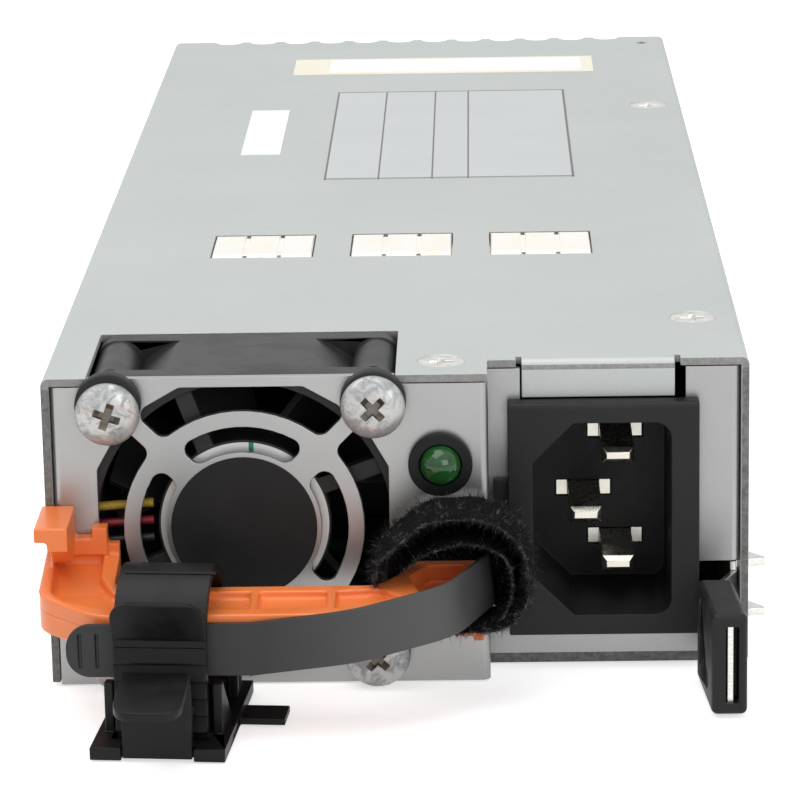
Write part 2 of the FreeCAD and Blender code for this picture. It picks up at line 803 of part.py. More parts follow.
def fan_motor():
    start = fan_y + 3.2
    shaft_start = fan_y + 4.2
    keep("fan_shaft", rod((fan_x, shaft_start, fan_z), "Y", s.shaft_radius, 12.6))
    bore = s.shaft_radius + s.shaft_play
    bearings = [tube((fan_x, fan_y + y, fan_z), "Y", 2.58, bore, 2.2) for y in (4.0, 11.4)]
    keep("fan_bearings", grouped(*bearings))
    keep("fan_magnet", tube((fan_x, start + 1, fan_z), "Y", s.hub_radius - 1.52, s.hub_radius - 2.2, 9))
    core = tube((fan_x, fan_y + 5.6, fan_z), "Y", s.hub_radius - 2.7, 3.22, 4.6)
    slots = []
    for i in range(4):
        slot = box((3.6, 0, -0.6), (s.hub_radius - 2, 6, 0.6))
        slots.append(put(slot, (fan_x, fan_y + 5.6, fan_z), Rotation(Vector(0, -1, 0), 45 + 90 * i)))
    board = tube((fan_x, fan_y + 2.65, fan_z), "Y", s.hub_radius - 2.4, 3.25, 1.0)
    coils = tube((fan_x, fan_y + 3.65, fan_z), "Y", 6.4, 3.25, 8.2)
    keep("fan_stator", joined(less(core, *slots), board, coils))
    keep("fan_hub_label", rod((fan_x, fan_y + 0.7, fan_z), "Y", s.hub_radius - 0.3, 0.1))
    sticker = rod((fan_x, front - s.sticker_thick, fan_z), "Y", s.sticker_radius, s.sticker_thick)
    keep("grille_sticker", sticker)


def fan_fasteners():
    grommets = []
    screws = []
    for x, z in fan_corners():
        pad_start = front - s.grommet_thick
        pad = rod((x, pad_start, z), "Y", s.grommet_radius, s.grommet_thick)
        neck = rod((x, front - 0.1, z), "Y", s.fan_hole_radius - 0.05, s.plate)
        hole = rod((x, pad_start - 1, z), "Y", s.fan_shank_radius + 0.05, s.grommet_thick + 4)
        grommets.append(less(joined(pad, neck), hole))
        head_start = pad_start - s.fan_head_thick
        head = rod((x, head_start + 0.6, z), "Y", s.fan_head_radius, s.fan_head_thick - 0.6)
        crown = taper((x, head_start, z), "Y", s.fan_head_radius - 1.1, s.fan_head_radius, 0.6)
        shank = rod((x, pad_start - 0.5, z), "Y", s.fan_shank_radius, 12)
        screw = joined(head, crown, shank)
        screws.append(less(screw, *cross_recess((x, head_start, z), "Y", 2.0, 1.1)))
    keep("fan_grommets", grouped(*grommets))
    keep("fan_screws", grouped(*screws))


def fan_wires():
    """Three leads from the fan's hub, along its side and down to the plug on the board."""
    radius = 0.55
    bend = 1.6
    half = s.fan_size / 2
    plug_x = base_left + 6
    plug_y = board_front + 4
    for i, colour in enumerate(("yellow", "red", "black")):
        level = fan_z + 2.2 - 2.2 * i
        side = fan_x - half - 1.0 - 0.1 * i
        lane = base_left + 2.5 - 0.02 * i
        points = [(fan_x - s.hub_radius - 0.6, fan_y + 1.6, level + 0.4)]
        points.append((side + 0.2, fan_y + 1.6, level - 0.2))
        points.append((side - 0.9, fan_y + 6, level))
        points.append((lane, plug_y - 8, level))
        points.append((lane + 2.2 + 1.6 * i, plug_y, board_top + 12))
        points.append((lane + 2.2 + 1.6 * i, plug_y, board_top + 5.5))
        shaped("fan_wire_" + colour, pipe(points, radius, bend))
    low = (plug_x - 3.6, plug_y - 2.5, board_top)
    keep("fan_plug", box(low, (plug_x + 4.4, plug_y + 2.5, board_top + 5.4)))


# ---------------------------------------------------------------- status lamp
def status_lamp():
    x, z = lamp_x, s.lamp_up
    rim = rod((x, front - s.bezel_thick, z), "Y", s.bezel_radius, s.bezel_thick)
    sleeve = rod((x, front - 0.1, z), "Y", s.lamp_radius + 0.55, 7)
    hole = rod((x, front - 3, z), "Y", s.lamp_radius + 0.05, 12)
    keep("led_bezel", less(joined(rim, sleeve), hole))
    straight = s.lamp_reach - s.lamp_radius
    stem = rod((x, front - straight, z), "Y", s.lamp_radius, straight + 5)
    dome = doc.addObject("Part::Sphere", "dome")
    bind(dome, "Radius", s.lamp_radius)
    put(dome, (x, front - straight, z))
    keep("led_lens", joined(stem, dome))
    leads = []
    for side in (-1.27, 1.27):
        points = [(x + side, front + 5, z), (x + side, board_front + 3, z)]
        points.append((x + side, board_front + 3, board_top))
        leads.append(pipe(points, 0.35, 2.0))
    shaped("led_leads", Part.makeCompound(leads))


# ---------------------------------------------------------------- mains inlet
def socket_outline(grow):
    """The socket's mouth: two corners cut at 45 degrees on its left side."""
    x_low = inlet_left + s.inlet_left_margin - grow
    x_high = x_low + s.socket_wide + 2 * grow
    z_low = inlet_z - s.socket_tall / 2 - grow
    z_high = inlet_z + s.socket_tall / 2 + grow
    cut = s.socket_chamfer
    outline = [(x_low + cut, z_low), (x_high, z_low), (x_high, z_high), (x_low + cut, z_high)]
    return outline + [(x_low, z_high - cut), (x_low, z_low + cut)], x_high, z_low, z_high


def inlet_pin_spots():
    row = inlet_left + 13.6
    half = s.pin_pitch / 2
    return [(row, inlet_z + half), (row - s.earth_offset, inlet_z - 0.6), (row, inlet_z - half)]


def mains_inlet():
    housing = Piece("inlet_housing")
    rim = rect(inlet_left, s.inlet_up, inlet_left + s.inlet_wide, s.inlet_up + s.inlet_tall)
    housing.pad("XZ", inlet_y, s.inlet_rim, rim)
    top = s.inlet_up + s.inlet_tall
    far = inlet_left + s.inlet_wide
    housing.fillet(0.8, "X", [(inlet_y, top)])
    throat = s.inlet_wide - 3.4
    block = rect(inlet_x - throat / 2, s.inlet_up + 1.3, inlet_x + throat / 2, top - 1.3)
    housing.pad("XZ", recess, s.inlet_back, block)
    mouth, x_high, z_low, z_high = socket_outline(0)
    housing.pocket("XZ", inlet_y, s.socket_depth, mouth)
    housing.fillet(2.0, "Y", [(x_high, z_low), (x_high, z_high)])
    ear = rect(inlet_left - 1.8, inlet_z + 1.7, inlet_left, inlet_z + 4.9)
    housing.pad("XZ", inlet_y + 1, s.inlet_rim - 1, ear)
    cavity_back = inlet_y + s.socket_depth
    wall = s.inlet_back + s.inlet_rim - s.socket_depth
    slots = []
    for x, z in inlet_pin_spots():
        wide = s.pin_wide / 2 + 1.5
        slots.append(rect(x - wide, z - s.pin_thick / 2, x + wide, z + s.pin_thick / 2))
    housing.pocket("XZ", cavity_back, wall, *slots)
    pins = []
    for x, z in inlet_pin_spots():
        wide = s.pin_wide / 2
        half = s.pin_thick / 2
        tip = inlet_y + s.pin_recess
        blade = Piece("pin", kept=False)
        blade.pad("XY", z - half, s.pin_thick, rect(x - wide, tip, x + wide, cavity_back + wall))
        collar = rect(x - wide - 1.45, cavity_back + 0.3, x + wide + 1.45, cavity_back + wall)
        blade.pad("XY", z - half, s.pin_thick, collar)
        tab = rect(x - 3, cavity_back + wall, x + 3, cavity_back + wall + 7)
        blade.pad("XY", z - 0.4, 0.8, tab)
        before = blade.body.Tip
        edges = tip_edges(before.Shape, tip)
        chamfer = blade.body.newObject("PartDesign::Chamfer", "chamfer")
        chamfer.Base = (before, edges)
        chamfer.Size = 0.6
        blade.body.Tip = chamfer
        doc.recompute()
        pins.append(blade.body)
    keep("inlet_pins", grouped(*pins))


def tip_edges(shape, level):
    """The edges that lie in the plane at a level of Y."""
    names = []
    for number, edge in enumerate(shape.Edges, start=1):
        if all(abs(vertex.Point.y - value_of(level)) < 1e-4 for vertex in edge.Vertexes):
            names.append(f"Edge{number}")
    return names


def inlet_wires():
    wires = []
    start = inlet_y + s.inlet_rim + s.inlet_back + 7
    for i, (x, z) in enumerate(inlet_pin_spots()):
        landing = board_front + 5
        drop_x = inlet_x - 5 + 5 * i
        run = landing + 3
        points = [(x, start, z), (x, start + 4.5, z), (drop_x, run, z - 3), (drop_x, run, board_top)]
        wires.append(pipe(points, 0.9, 1.8))
    shaped("inlet_wires", Part.makeCompound(wires))


# ---------------------------------------------------------------- handle
def handle_outline():
    reach = front - s.handle_reach
    rear = front - s.handle_reach + s.bar_depth
    end = far - 0.5
    outer = [(left, front), (left, reach + 8.2), (left + 7.8, reach), (far - 15.8, reach)]
    outer += [(far - 5.0, reach + 5.4), (end, front - 4.5), (end, front)]
    inner = [(far - 8.4, front), (far - 10.6, front - 4.5), (far - 13.3, rear)]
    inner += [(left + 10.3, rear), (left + 9.0, rear + 1.4), (left + 9.0, front)]
    return outer, inner


def handle():
    grip = Piece("handle")
    outer, inner = handle_outline()
    under = s.handle_under
    top = under + s.handle_tall
    rear = inner[2][1]
    reach = outer[2][1]
    grip.pad("XY", under, s.handle_tall, outer + inner)
    grip.fillet(6.0, "Z", outer[1:3])
    grip.fillet(8.0, "Z", [outer[4]])
    grip.fillet(14.0, "Z", [outer[3]])
    grip.fillet(3.0, "Z", [outer[5], inner[2]])
    grip.fillet(0.5, "Z", [inner[3], inner[4]])
    rise = s.handle_root
    wedge = [(front, top), (reach + 8.4, top), (front, top + rise)]
    grip.pad("YZ", left, inner[5][0] - left, wedge)
    root = top + rise
    flange = rect(front - 1.4, root - 0.5, front, root + 1.2)
    grip.pad("YZ", left + 2.0, inner[5][0] - left - 2.0, flange)
    ledge = rect(left + 2.0, root, left + 7.6, top + 4.0)
    grip.pad("XZ", front - 2.2, 2.2, ledge)
    pillar = rect(left + 5.8, root, left + 7.6, top + 5.3)
    grip.pad("XZ", front - 2.2, 2.2, pillar)
    web = [(front, root - 0.4), (front - 4.0, root - 0.8), (front - 8.2, top + 4.6)]
    web += [(front - 9.8, top + 4.6), (front - 9.8, top + 5.8), (front, top + 5.8)]
    grip.pad("YZ", left + 1.1, 2.5, web)
    hook = rect(left - 0.4, front - 9.8, left + 3.6, front)
    grip.pad("XY", top + 5.8, 1.8, hook)
    well = [(left + 1.3, front - 1.6), (left + 7.0, front - 1.6), (left + 7.2, front - 7.3)]
    well += [(left + 9.0, rear - 2.1), (left + 11.0, rear - 2.1), (left + 11.0, reach + 2.3)]
    well += [(left + 7.6, reach + 3.4), (left + 3.6, reach + 6.0), (left + 1.5, reach + 9.4)]
    floor = top - s.trough_deep
    slope = s.handle_root / (s.handle_reach - 8.4)
    grip.pocket("XY", floor, s.trough_deep + rise, well)
    refill = [(front - 1.5, floor - 0.2), (reach + 9.4, floor - 0.2)]
    refill.append((front - 1.5, floor + slope * 10.0))
    grip.pad("YZ", left + 0.8, 6.6, refill)
    trough_front = reach + 2.3
    trough_rear = rear - 2.1
    lanes = [rect(left + 11.8, trough_front, left + 25.5, trough_rear)]
    lanes.append(rect(left + 26.5, trough_front, left + 34.6, trough_rear))
    lane = [(left + 35.7, trough_rear), (far - 13.0, trough_rear + 0.6), (far - 9.6, reach + 5.4)]
    lane += [(far - 13.6, reach + 3.0), (left + 35.7, trough_front)]
    lanes.append(lane)
    grip.pocket("XY", floor, s.trough_deep, *lanes)
    pocket = [(far - 7.2, front - 1.5), (far - 2.6, front - 1.5), (far - 2.6, front - 5.6)]
    pocket += [(far - 5.8, reach + 7.2), (far - 7.9, reach + 6.6), (far - 9.4, front - 6.2)]
    grip.pocket("XY", top - s.pocket_deep, s.pocket_deep, pocket)
    foot_low = under - 4.8
    foot = rect(far - 4.0, foot_low, end_of(outer), under)
    grip.pad("XZ", front - 1.5, 1.5, foot)
    heel = rect(far - 1.8, foot_low - 0.6, end_of(outer), foot_low)
    grip.pad("XZ", front - 1.5, 1.5, heel)


def end_of(outline):
    """How far right an outline's last point lies."""
    return outline[-1][0]


def handle_band():
    """A soft band on the handle's front: level past the clamp, then rising to the right end."""
    outer, _ = handle_outline()
    reach = outer[2][1]
    near = s.band_gap.value
    outside = near + s.band_thick.value
    tall = s.band_tall.value
    turn_x = value_of(left + s.band_turn)
    start_x = value_of(left + s.band_start)
    corner = Vector(start_x, value_of(reach) - outside, 0)
    block = Part.makeBox(turn_x - start_x, s.band_thick.value, tall, corner)
    level = block.makeFillet(BAND_TIP, end_edges(block))
    lean = 0.4
    corners = [(x + lean, y) for x, y in outer[4:6]]
    end = (corners[1][0], corners[1][1] + 1.0)
    path = rounded_wire([(turn_x - 0.6, reach), outer[3], *corners, end], [14.0, 8.0, 3.0])
    rising = offset_strip(path, near, outside, tall)
    hinge = Vector(turn_x, 0, tall / 2)
    tilt = Rotation(Vector(0, -1, 0), s.band_rise.value)
    rising.Placement = Placement(hinge - tilt.multVec(hinge), tilt)
    band = level.fuse(rising).removeSplitter()
    shaped("handle_band", band, Placement(Vector(0, 0, value_of(s.band_under)), Rotation()))


BAND_TIP = 2.9


def end_edges(strip):
    """The two short level edges at a strip's left end."""
    low = strip.BoundBox.XMin
    edges = []
    for edge in strip.Edges:
        middle = edge.CenterOfMass
        ends = [vertex.Point for vertex in edge.Vertexes]
        if abs(middle.x - low) < 1e-3 and abs(ends[0].z - ends[1].z) < 1e-3:
            edges.append(edge)
    return edges


def offset_strip(wire, near, far, tall):
    """A strip that stands on the XY plane between two offsets of a wire, on its right side."""
    first = wire.makeOffset2D(near, 0, False, True)
    second = wire.makeOffset2D(far, 0, False, True)
    return ruled_strip(first, second, tall)


def ruled_strip(first, second, tall):
    a_start, a_end = ordered_ends(first)
    b_start, b_end = ordered_ends(second)
    if a_start.distanceToPoint(b_start) > a_start.distanceToPoint(b_end):
        b_start, b_end = b_end, b_start
    edges = list(first.Edges) + list(second.Edges)
    edges.append(Part.LineSegment(a_start, b_start).toShape())
    edges.append(Part.LineSegment(a_end, b_end).toShape())
    outline = Part.Wire(Part.__sortEdges__(edges))
    return Part.Face(outline).extrude(Vector(0, 0, tall))


def ordered_ends(wire):
    vertexes = wire.OrderedVertexes
    return vertexes[0].Point, vertexes[-1].Point


def strap_outline(inset):
    """The strap's section, seen from the front, with its corners in the order of STRAP_BENDS."""
    x_low, x_high = far - s.strap_left + inset, far + s.strap_right - inset
    z_low, z_high = s.strap_under + inset, s.strap_under + s.strap_tall - inset
    shoulder = inset * 0.4
    corners = [(x_low, z_low), (x_high, z_low), (x_high, z_high)]
    return corners + [(x_low + 6.2 - shoulder, z_high), (x_low, z_high - 5.4 + shoulder)]


STRAP_BENDS = (3.4, 5.4, 7.0, 5.0, 4.0)


def hook_loop_strap():
    """A fuzzy strap rolled round the handle's right end, notched where the bar passes it."""
    start = front - s.strap_wide - s.strap_off
    ring = Piece("hook_loop_strap")
    outside = strap_outline(s.plate * 0)
    inside = strap_outline(s.strap_thick)
    ring.pad("XZ", start, s.strap_wide, outside)
    ring.pocket("XZ", start, s.strap_wide, inside)
    for corner, inner_corner, bend in zip(outside, inside, STRAP_BENDS):
        ring.fillet(bend - s.strap_thick.value, "Y", [inner_corner])
        ring.fillet(bend, "Y", [corner])
    bar_rear = front - s.handle_reach + s.bar_depth
    side = outside[0][0] - 1
    passage = [(side, start - 1), (far - 7.2, start - 1), (far - 8.2, front - 5.0)]
    passage += [(far - 11.2, front - 4.1), (far - 13.6, bar_rear + 0.4), (side, bar_rear + 0.4)]
    ring.pocket("XY", s.handle_under - 0.4, s.handle_tall + 0.8, passage)


# ---------------------------------------------------------------- cable clamp
clamp_x = left + s.clamp_across
clamp_y = front - s.clamp_out
clamp_front = -s.clamp_deep / 2
LOOP_HINGE = (s.loop_rear - 0.5, 3.0)
LEVER_HINGE = (0.6, 0.85)


def clamp_place(thing):
    """Turn a piece drawn about the clamp's own centre, and put it beside the handle."""
    turn = Rotation(Vector(0, 0, -1), s.clamp_turn.value)
    return put(thing, (clamp_x, clamp_y, 0), turn)


def clamp_base():
    half = s.clamp_wide / 2
    deep = s.clamp_deep / 2
    thick = s.clamp_plate
    front_plate = box((-half, -deep, 0), (half, deep - 2.3, thick))
    rear_plate = box((-2.5, deep - 2.4, 0), (half, deep, thick))
    cheek_x = s.loop_wide / 2 + 0.4
    parts = [front_plate, rear_plate]
    for side in (-1, 1):
        inner, outer = side * cheek_x, side * (cheek_x + 1.1)
        low, high = (inner, outer) if side > 0 else (outer, inner)
        cheek = Piece("cheek", kept=False)
        heel = -deep + 5.4
        outline = [(heel, thick), (heel + 7.0, thick), (heel + 2.0, 7.0), (heel + 1.4, 7.7), (heel, 7.7)]
        cheek.pad("YZ", low, high - low, outline)
        ear = Piece("ear", kept=False)
        y, z = LOOP_HINGE
        ear.pad("YZ", low, high - low, rect(y - 1.8, thick, y + 1.8, z + 1.6))
        parts += [cheek.body, ear.body]
    tongue = box((half, 0.4, 0.1), (half + 5.4, 5.1, 1.0))
    parts.append(tongue)
    y, z = LOOP_HINGE
    pin_hole = rod((-half, y, z), "X", 0.85, s.clamp_wide)
    gap = s.lever_wide / 2 + 0.2
    mouth = box((-gap, -deep - 1, -1), (gap, -deep + 1.5, thick + 1))
    lever_y, lever_z = -deep + LEVER_HINGE[0], LEVER_HINGE[1]
    lever_hole = rod((-gap - 1.2, lever_y, lever_z), "X", 0.45, 2 * gap + 2.4)
    slot_half = s.loop_wide / 2 + 0.3
    guide = s.loop_rear - 2 * s.loop_radius
    slot = box((-slot_half, guide - 0.9, thick - 0.5), (slot_half, guide + 1.3, thick + 1))
    keep("clamp_base", clamp_place(less(joined(*parts), pin_hole, mouth, lever_hole, slot)))


def clamp_loop():
    """The ribbon: up from its hinge behind the bar, over it, and down into the guide."""
    radius = s.loop_radius
    thick = s.loop_thick
    top = s.loop_top - radius
    y_back = s.loop_rear
    mid = y_back - radius
    y_front = mid - radius
    half = s.loop_wide / 2
    bow = tube((-half, mid, top), "X", radius, radius - thick, s.loop_wide)
    lower = box((-half - 1, y_front - 1, top - radius - 1), (half + 1, y_back + 1, top))
    bow = less(bow, lower)
    hinge_y, hinge_z = LOOP_HINGE
    rear_leg = box((-half, y_back - thick, hinge_z), (half, y_back, top + 0.01))
    front_leg = box((-half, y_front, 2.0), (half, y_front + thick, top + 0.01))
    barrel = rod((-half, hinge_y, hinge_z), "X", 1.15, s.loop_wide)
    pins = rod((-half - 1.3, hinge_y, hinge_z), "X", 0.8, s.loop_wide + 2.6)
    teeth = []
    face = y_front - s.tooth_deep
    for i in range(5):
        low = 2.3 + i * s.tooth_pitch
        tooth = Piece("tooth", kept=False)
        profile = [(y_front + 0.1, low), (face, low), (face, low + 0.4)]
        profile += [(y_front, low + 1.9), (y_front + 0.1, low + 1.9)]
        tooth.pad("YZ", -half + 0.1, s.loop_wide - 0.2, profile)
        teeth.append(tooth.body)
    parts = [bow, rear_leg, front_leg, barrel, pins, thumb_lip(y_front), *teeth]
    keep("clamp_loop", clamp_place(joined(*parts)))


def thumb_lip(y_front):
    """A round-cornered lip that flares out from the ribbon's front."""
    half = s.loop_wide / 2
    low = s.lip_up
    high = low + s.lip_tall
    out = y_front - s.lip_out
    root = y_front + 0.2
    lip = Piece("lip", kept=False)
    lip.pad("XZ", out, s.lip_out + 0.2, rect(-half, low, half, high))
    lip.fillet(2.2, "Y", [(-half, high), (half, high)])
    below = [(out - 0.1, low - 0.1), (y_front, low - 0.1), (y_front - 0.5, low + 0.6)]
    below += [(out, high - 0.3), (out - 0.1, high - 0.3)]
    behind = [(root + 0.1, low + 1.4), (y_front - 0.1, low + 1.5)]
    behind += [(out + 0.8, high + 0.1), (root + 0.1, high + 0.1)]
    lip.pocket("YZ", -half, s.loop_wide, below)
    lip.pocket("YZ", -half, s.loop_wide, behind)
    return lip.body


def clamp_lever():
    """The release lever: a stem in the base's mouth, with a long thumb pad and a pawl."""
    face = clamp_front
    half = s.lever_wide / 2
    pad_half = s.lever_pad / 2
    stem = Piece("stem", kept=False)
    stem.pad("YZ", -half, s.lever_wide, [(face, 0.3), (face + 1.2, 0.3), (face + 1.2, 9.6), (face, 9.4)])
    tip = face - s.pad_long
    pad = Piece("pad", kept=False)
    pad.pad("XY", 7.0, 3.7, rect(-pad_half, tip, pad_half, face + 1.2))
    pad.fillet(2.2, "Z", [(-pad_half, tip), (pad_half, tip)])
    above = [(tip - 0.1, 8.6), (face + 1.3, 10.6), (face + 1.3, 10.8), (tip - 0.1, 10.8)]
    below = [(tip - 0.1, 7.5), (face + 0.1, 9.2), (face + 0.6, 8.4)]
    below += [(face + 1.3, 8.4), (face + 1.3, 6.9), (tip - 0.1, 6.9)]
    pad.pocket("YZ", -pad_half, s.lever_pad, above)
    pad.pocket("YZ", -pad_half, s.lever_pad, below)
    pawl = Piece("pawl", kept=False)
    pawl.pad("YZ", -half, s.lever_wide, [(face + 1.1, 4.7), (face + 3.2, 5.7), (face + 1.1, 6.6)])
    lever_y, lever_z = face + LEVER_HINGE[0], LEVER_HINGE[1]
    pins = rod((-half - 1.2, lever_y, lever_z), "X", 0.4, s.lever_wide + 2.4)
    keep("clamp_lever", clamp_place(joined(stem.body, pad.body, pawl.body, pins)))


# ---------------------------------------------------------------- side latch
def leaf_lines():
    """The leaf's middle line from its rear end to its front end, in plan."""
    wall = wall_inside - 0.7
    tip_x = inlet_left + s.inlet_wide + 2.7
    bend = [(wall, front + 7.6), (tip_x - 1.1, front + 1.0)]
    return [(wall, front + s.leaf_pivot + 5), *bend, (tip_x, front - s.tab_long + 0.2)]


def latch_leaf():
    leaf = Piece("latch_leaf")
    half = s.leaf_thick / 2
    line = leaf_lines()
    right_side = [(x + half, y) for x, y in line]
    left_side = [(x - half, y) for x, y in reversed(line)]
    leaf.pad("XY", s.leaf_up, s.leaf_tall, right_side + left_side)
    wall_x = line[0][0]
    head = rect(front + 7.8, s.leaf_up + s.leaf_tall - 1, front + 15.0, s.lug_high + s.lug_thick)
    leaf.pad("YZ", wall_x - half, s.leaf_thick, head)
    for low in (s.lug_low, s.lug_high):
        point_x = right + s.lug_reach
        lug = [(wall_x, front + 8.2), (point_x, front + 8.9), (point_x, front + 9.6), (wall_x, front + 14.6)]
        leaf.pad("XY", low, s.lug_thick, lug)
    spots = [(front + s.leaf_pivot, s.leaf_up + z, 1.55) for z in (2.3, 7.3)]
    leaf.pocket("YZ", wall_x - half - 0.1, s.leaf_thick + 0.2, *spots)


def latch_rivets():
    rivets = []
    wall_x = leaf_lines()[0][0]
    inside = right - s.plate
    for z in (2.3, 7.3):
        at = (wall_x - s.leaf_thick / 2 - 1.1, front + s.leaf_pivot, s.leaf_up + z)
        head = rod(at, "X", 2.1, 0.8)
        shank = rod(at, "X", 1.2, inside - at[0])
        rivets.append(joined(head, shank))
    keep("latch_rivets", grouped(*rivets))


def latch_tab():
    tab = Piece("latch_tab")
    line = leaf_lines()
    (x_rear, _), (x_front, _) = line[2], line[3]
    half = s.tab_wide / 2
    face = front - s.tab_long - 0.4
    outline = [(x_rear - half, front - 0.4), (x_front - half, face)]
    outline += [(x_front + half, face), (x_rear + half, front - 0.4)]
    tab.pad("XY", s.tab_under, s.tab_tall, outline)
    tab.fillet(1.0, "Z", outline[1:3])
    window = rect(x_front - 1.05, s.leaf_up - 0.1, x_front + 1.05, s.leaf_up + s.leaf_tall + 0.1)
    tab.pocket("XZ", face, 1.6, window)
    channel = [(x + s.leaf_thick / 2, y) for x, y in line[2:]]
    channel += [(x - s.leaf_thick / 2, y) for x, y in reversed(line[2:])]
    tab.pocket("XY", s.leaf_up, s.leaf_tall, channel)


# ---------------------------------------------------------------- circuit board and what it carries
def board_holes():
    near = [(base_left + 24, board_front + 3), (base_right - 5, board_front + 4)]
    middle = power_start + s.core_long + 8
    return near + [(x, y) for y in (middle, back - 8) for x in (base_left + 12, base_right - 5)]


def main_board():
    board = Piece("main_board")
    margin = s.board_margin + s.plate
    x_low, x_high = base_left + margin, base_right - margin
    rear = back - s.plate - 0.6
    tongue_x = left + s.tongue_across
    half = s.tongue_wide / 2
    outline = [(x_low, board_front), (x_high, board_front), (x_high, rear), (tongue_x + half, rear)]
    outline += [(tongue_x + half, back + s.tongue_reach), (tongue_x - half, back + s.tongue_reach)]
    outline += [(tongue_x - half, rear), (x_low, rear)]
    board.pad("XY", s.board_up, s.board_thick, outline)
    board.pocket("XY", s.board_up, s.board_thick, *[(x, y, 1.6) for x, y in board_holes()])


def board_mounting():
    tall = s.board_up - s.plate
    standoffs = [tube((x, y, s.plate), "Z", s.standoff_radius, 1.45, tall) for x, y in board_holes()]
    keep("board_standoffs", grouped(*standoffs))
    screws = []
    for x, y in board_holes():
        head = rod((x, y, board_top), "Z", 2.7, 1.6)
        shank = rod((x, y, board_top - 5), "Z", 1.4, 5.1)
        screws.append(less(joined(head, shank), *cross_recess((x, y, board_top + 1.6), "Z", 1.5, 0.8)))
    keep("board_screws", grouped(*screws))
    sheet_low = (base_left + 3, board_front, s.plate)
    film = box(sheet_low, (base_right - 3, back - 3, s.plate + 0.3))
    holes = [rod((x, y, 0), "Z", s.standoff_radius + 0.4, 4) for x, y in board_holes()]
    keep("insulation_sheet", less(film, *holes))


def toroid(name, x, y, ring, section, turns):
    """A wound ring core lying on the board, with its winding as a node of its own."""
    core_section = section - 1.3
    at = (x, y, board_top + section)
    keep(name + "_core", torus(at, Rotation(), ring, core_section))
    loops = []
    for i in range(turns):
        turn = 360.0 * i / turns
        dx = ring * math.cos(math.radians(turn))
        dy = ring * math.sin(math.radians(turn))
        tilt = Rotation(Vector(0, 0, 1), turn).multiply(Rotation(Vector(1, 0, 0), 90))
        loops.append(torus((x + dx, y + dy, at[2]), tilt, core_section + 0.62, 0.55))
    keep(name + "_winding", grouped(*loops))


def power_parts():
    up = board_top
    lid = s.height - s.plate
    line_y = board_front + s.screw_zone + s.line_reach
    fuse_y = line_y + s.line_reach + s.part_gap
    relay_y = fuse_y + s.fuse_long + s.part_gap
    boost_x = base_right - s.boost_reach - 0.5
    toroid("line_choke", base_right - s.line_reach - s.part_gap, line_y, s.line_ring, s.line_section, 16)
    toroid("boost_choke", boost_x, power_start + s.boost_reach + 3.5, s.boost_ring, s.boost_section, 22)
    film_right = base_right - 2 * s.line_reach - s.part_gap - 0.5
    keep("film_capacitor", box((film_right - 6, line_y - 9, up), (film_right, line_y + 9, up + 14)))
    fuse = rod((base_right - 20, fuse_y + s.fuse_long / 2, up + 3), "X", 2.8, 12)
    caps = []
    for x in (base_right - 20, base_right - 11):
        caps.append(box((x, fuse_y, up), (x + 3, fuse_y + s.fuse_long, up + 6)))
    keep("input_fuse", joined(fuse, *caps))
    relay_far = (base_right - 4, relay_y + s.relay_long, up + 14)
    keep("inrush_relay", box((base_right - 22, relay_y, up), relay_far))
    bulk = []
    bulk_start = board_front + 11
    for i in (0, 1):
        x = base_left + 4.5 + s.bulk_radius + i * (2 * s.bulk_radius + 2)
        at = (x, bulk_start, up + s.bulk_radius)
        bulk.append(rod(at, "Y", s.bulk_radius, power_start - 9 - bulk_start))
    keep("bulk_capacitors", grouped(*bulk))
    sinks = {
        "primary_heatsink": (boost_x - s.boost_reach - 9.3, power_start),
        "secondary_heatsink": (base_left + 52, output_start),
    }
    chips = []
    pitch = (s.sink_long - 3) / 7
    for name, (x, start) in sinks.items():
        plate = box((x, start, up), (x + 2.5, start + s.sink_long, lid - 4.4))
        fins = []
        for i in range(7):
            y = start + 2 + pitch * i
            fins.append(box((x - 7, y, up + 12), (x + 0.1, y + 1.2, lid - 4.4)))
        keep(name, joined(plate, *fins))
        for i in range(3):
            y = start + 4 + i * (s.sink_long - 4) / 3
            chips.append(box((x + 2.5, y, up + 0.6), (x + 7, y + 10, up + 17)))
            chips.append(box((x + 4, y + 1, up), (x + 5, y + 9, up + 0.7)))
    keep("power_transistors", joined(*chips))
    transformer(sinks["primary_heatsink"][0] - 8.8, lid)
    outputs = []
    for row in range(2):
        for column in range(4):
            x = base_left + 9 + (2 * s.output_radius + 1.6) * column
            y = output_start + 10 + (2 * s.output_radius + 3.6) * row
            outputs.append(rod((x, y, up), "Z", s.output_radius, s.output_tall))
    keep("output_capacitors", grouped(*outputs))
    card_front = power_start + s.sink_long
    card_back = output_start + s.sink_long + 2
    card_left = base_right - 12
    card_thick = 1.6
    card = box((card_left, card_front, up), (card_left + card_thick, card_back, up + 24))
    keep("control_board", card)
    logic = []
    for i in range(4):
        low = (card_left + card_thick, card_front + 6 + 14 * i, up + 8)
        logic.append(box(low, (low[0] + 1.6, low[1] + 8, up + 15)))
    keep("control_chips", grouped(*logic))
    bars = []
    bar_start = output_start + 10 + 4 * s.output_radius + 5.2
    for x in (base_left + 6, base_left + 30):
        bars.append(box((x, bar_start, up), (x + 18, back - 14, up + 1.5)))
    keep("output_busbars", grouped(*bars))


def transformer(core_right, lid):
    """A core that stands round its winding, beside the primary heat sink."""
    core_left = base_left + 4
    start = power_start + 2
    wound = start + 6
    wound_end = start + s.core_long - 6
    low, high = board_top + 4.9, lid - 5.3
    core = box((core_left, start, board_top), (core_right, start + s.core_long, lid - 0.9))
    window = box((core_left - 1, wound - 0.2, low - 0.1), (core_right + 1, wound_end + 0.2, high + 0.1))
    keep("transformer_core", less(core, window))
    winding = box((core_left - 0.8, wound, low), (core_right + 0.8, wound_end, high))
    keep("transformer_winding", winding)


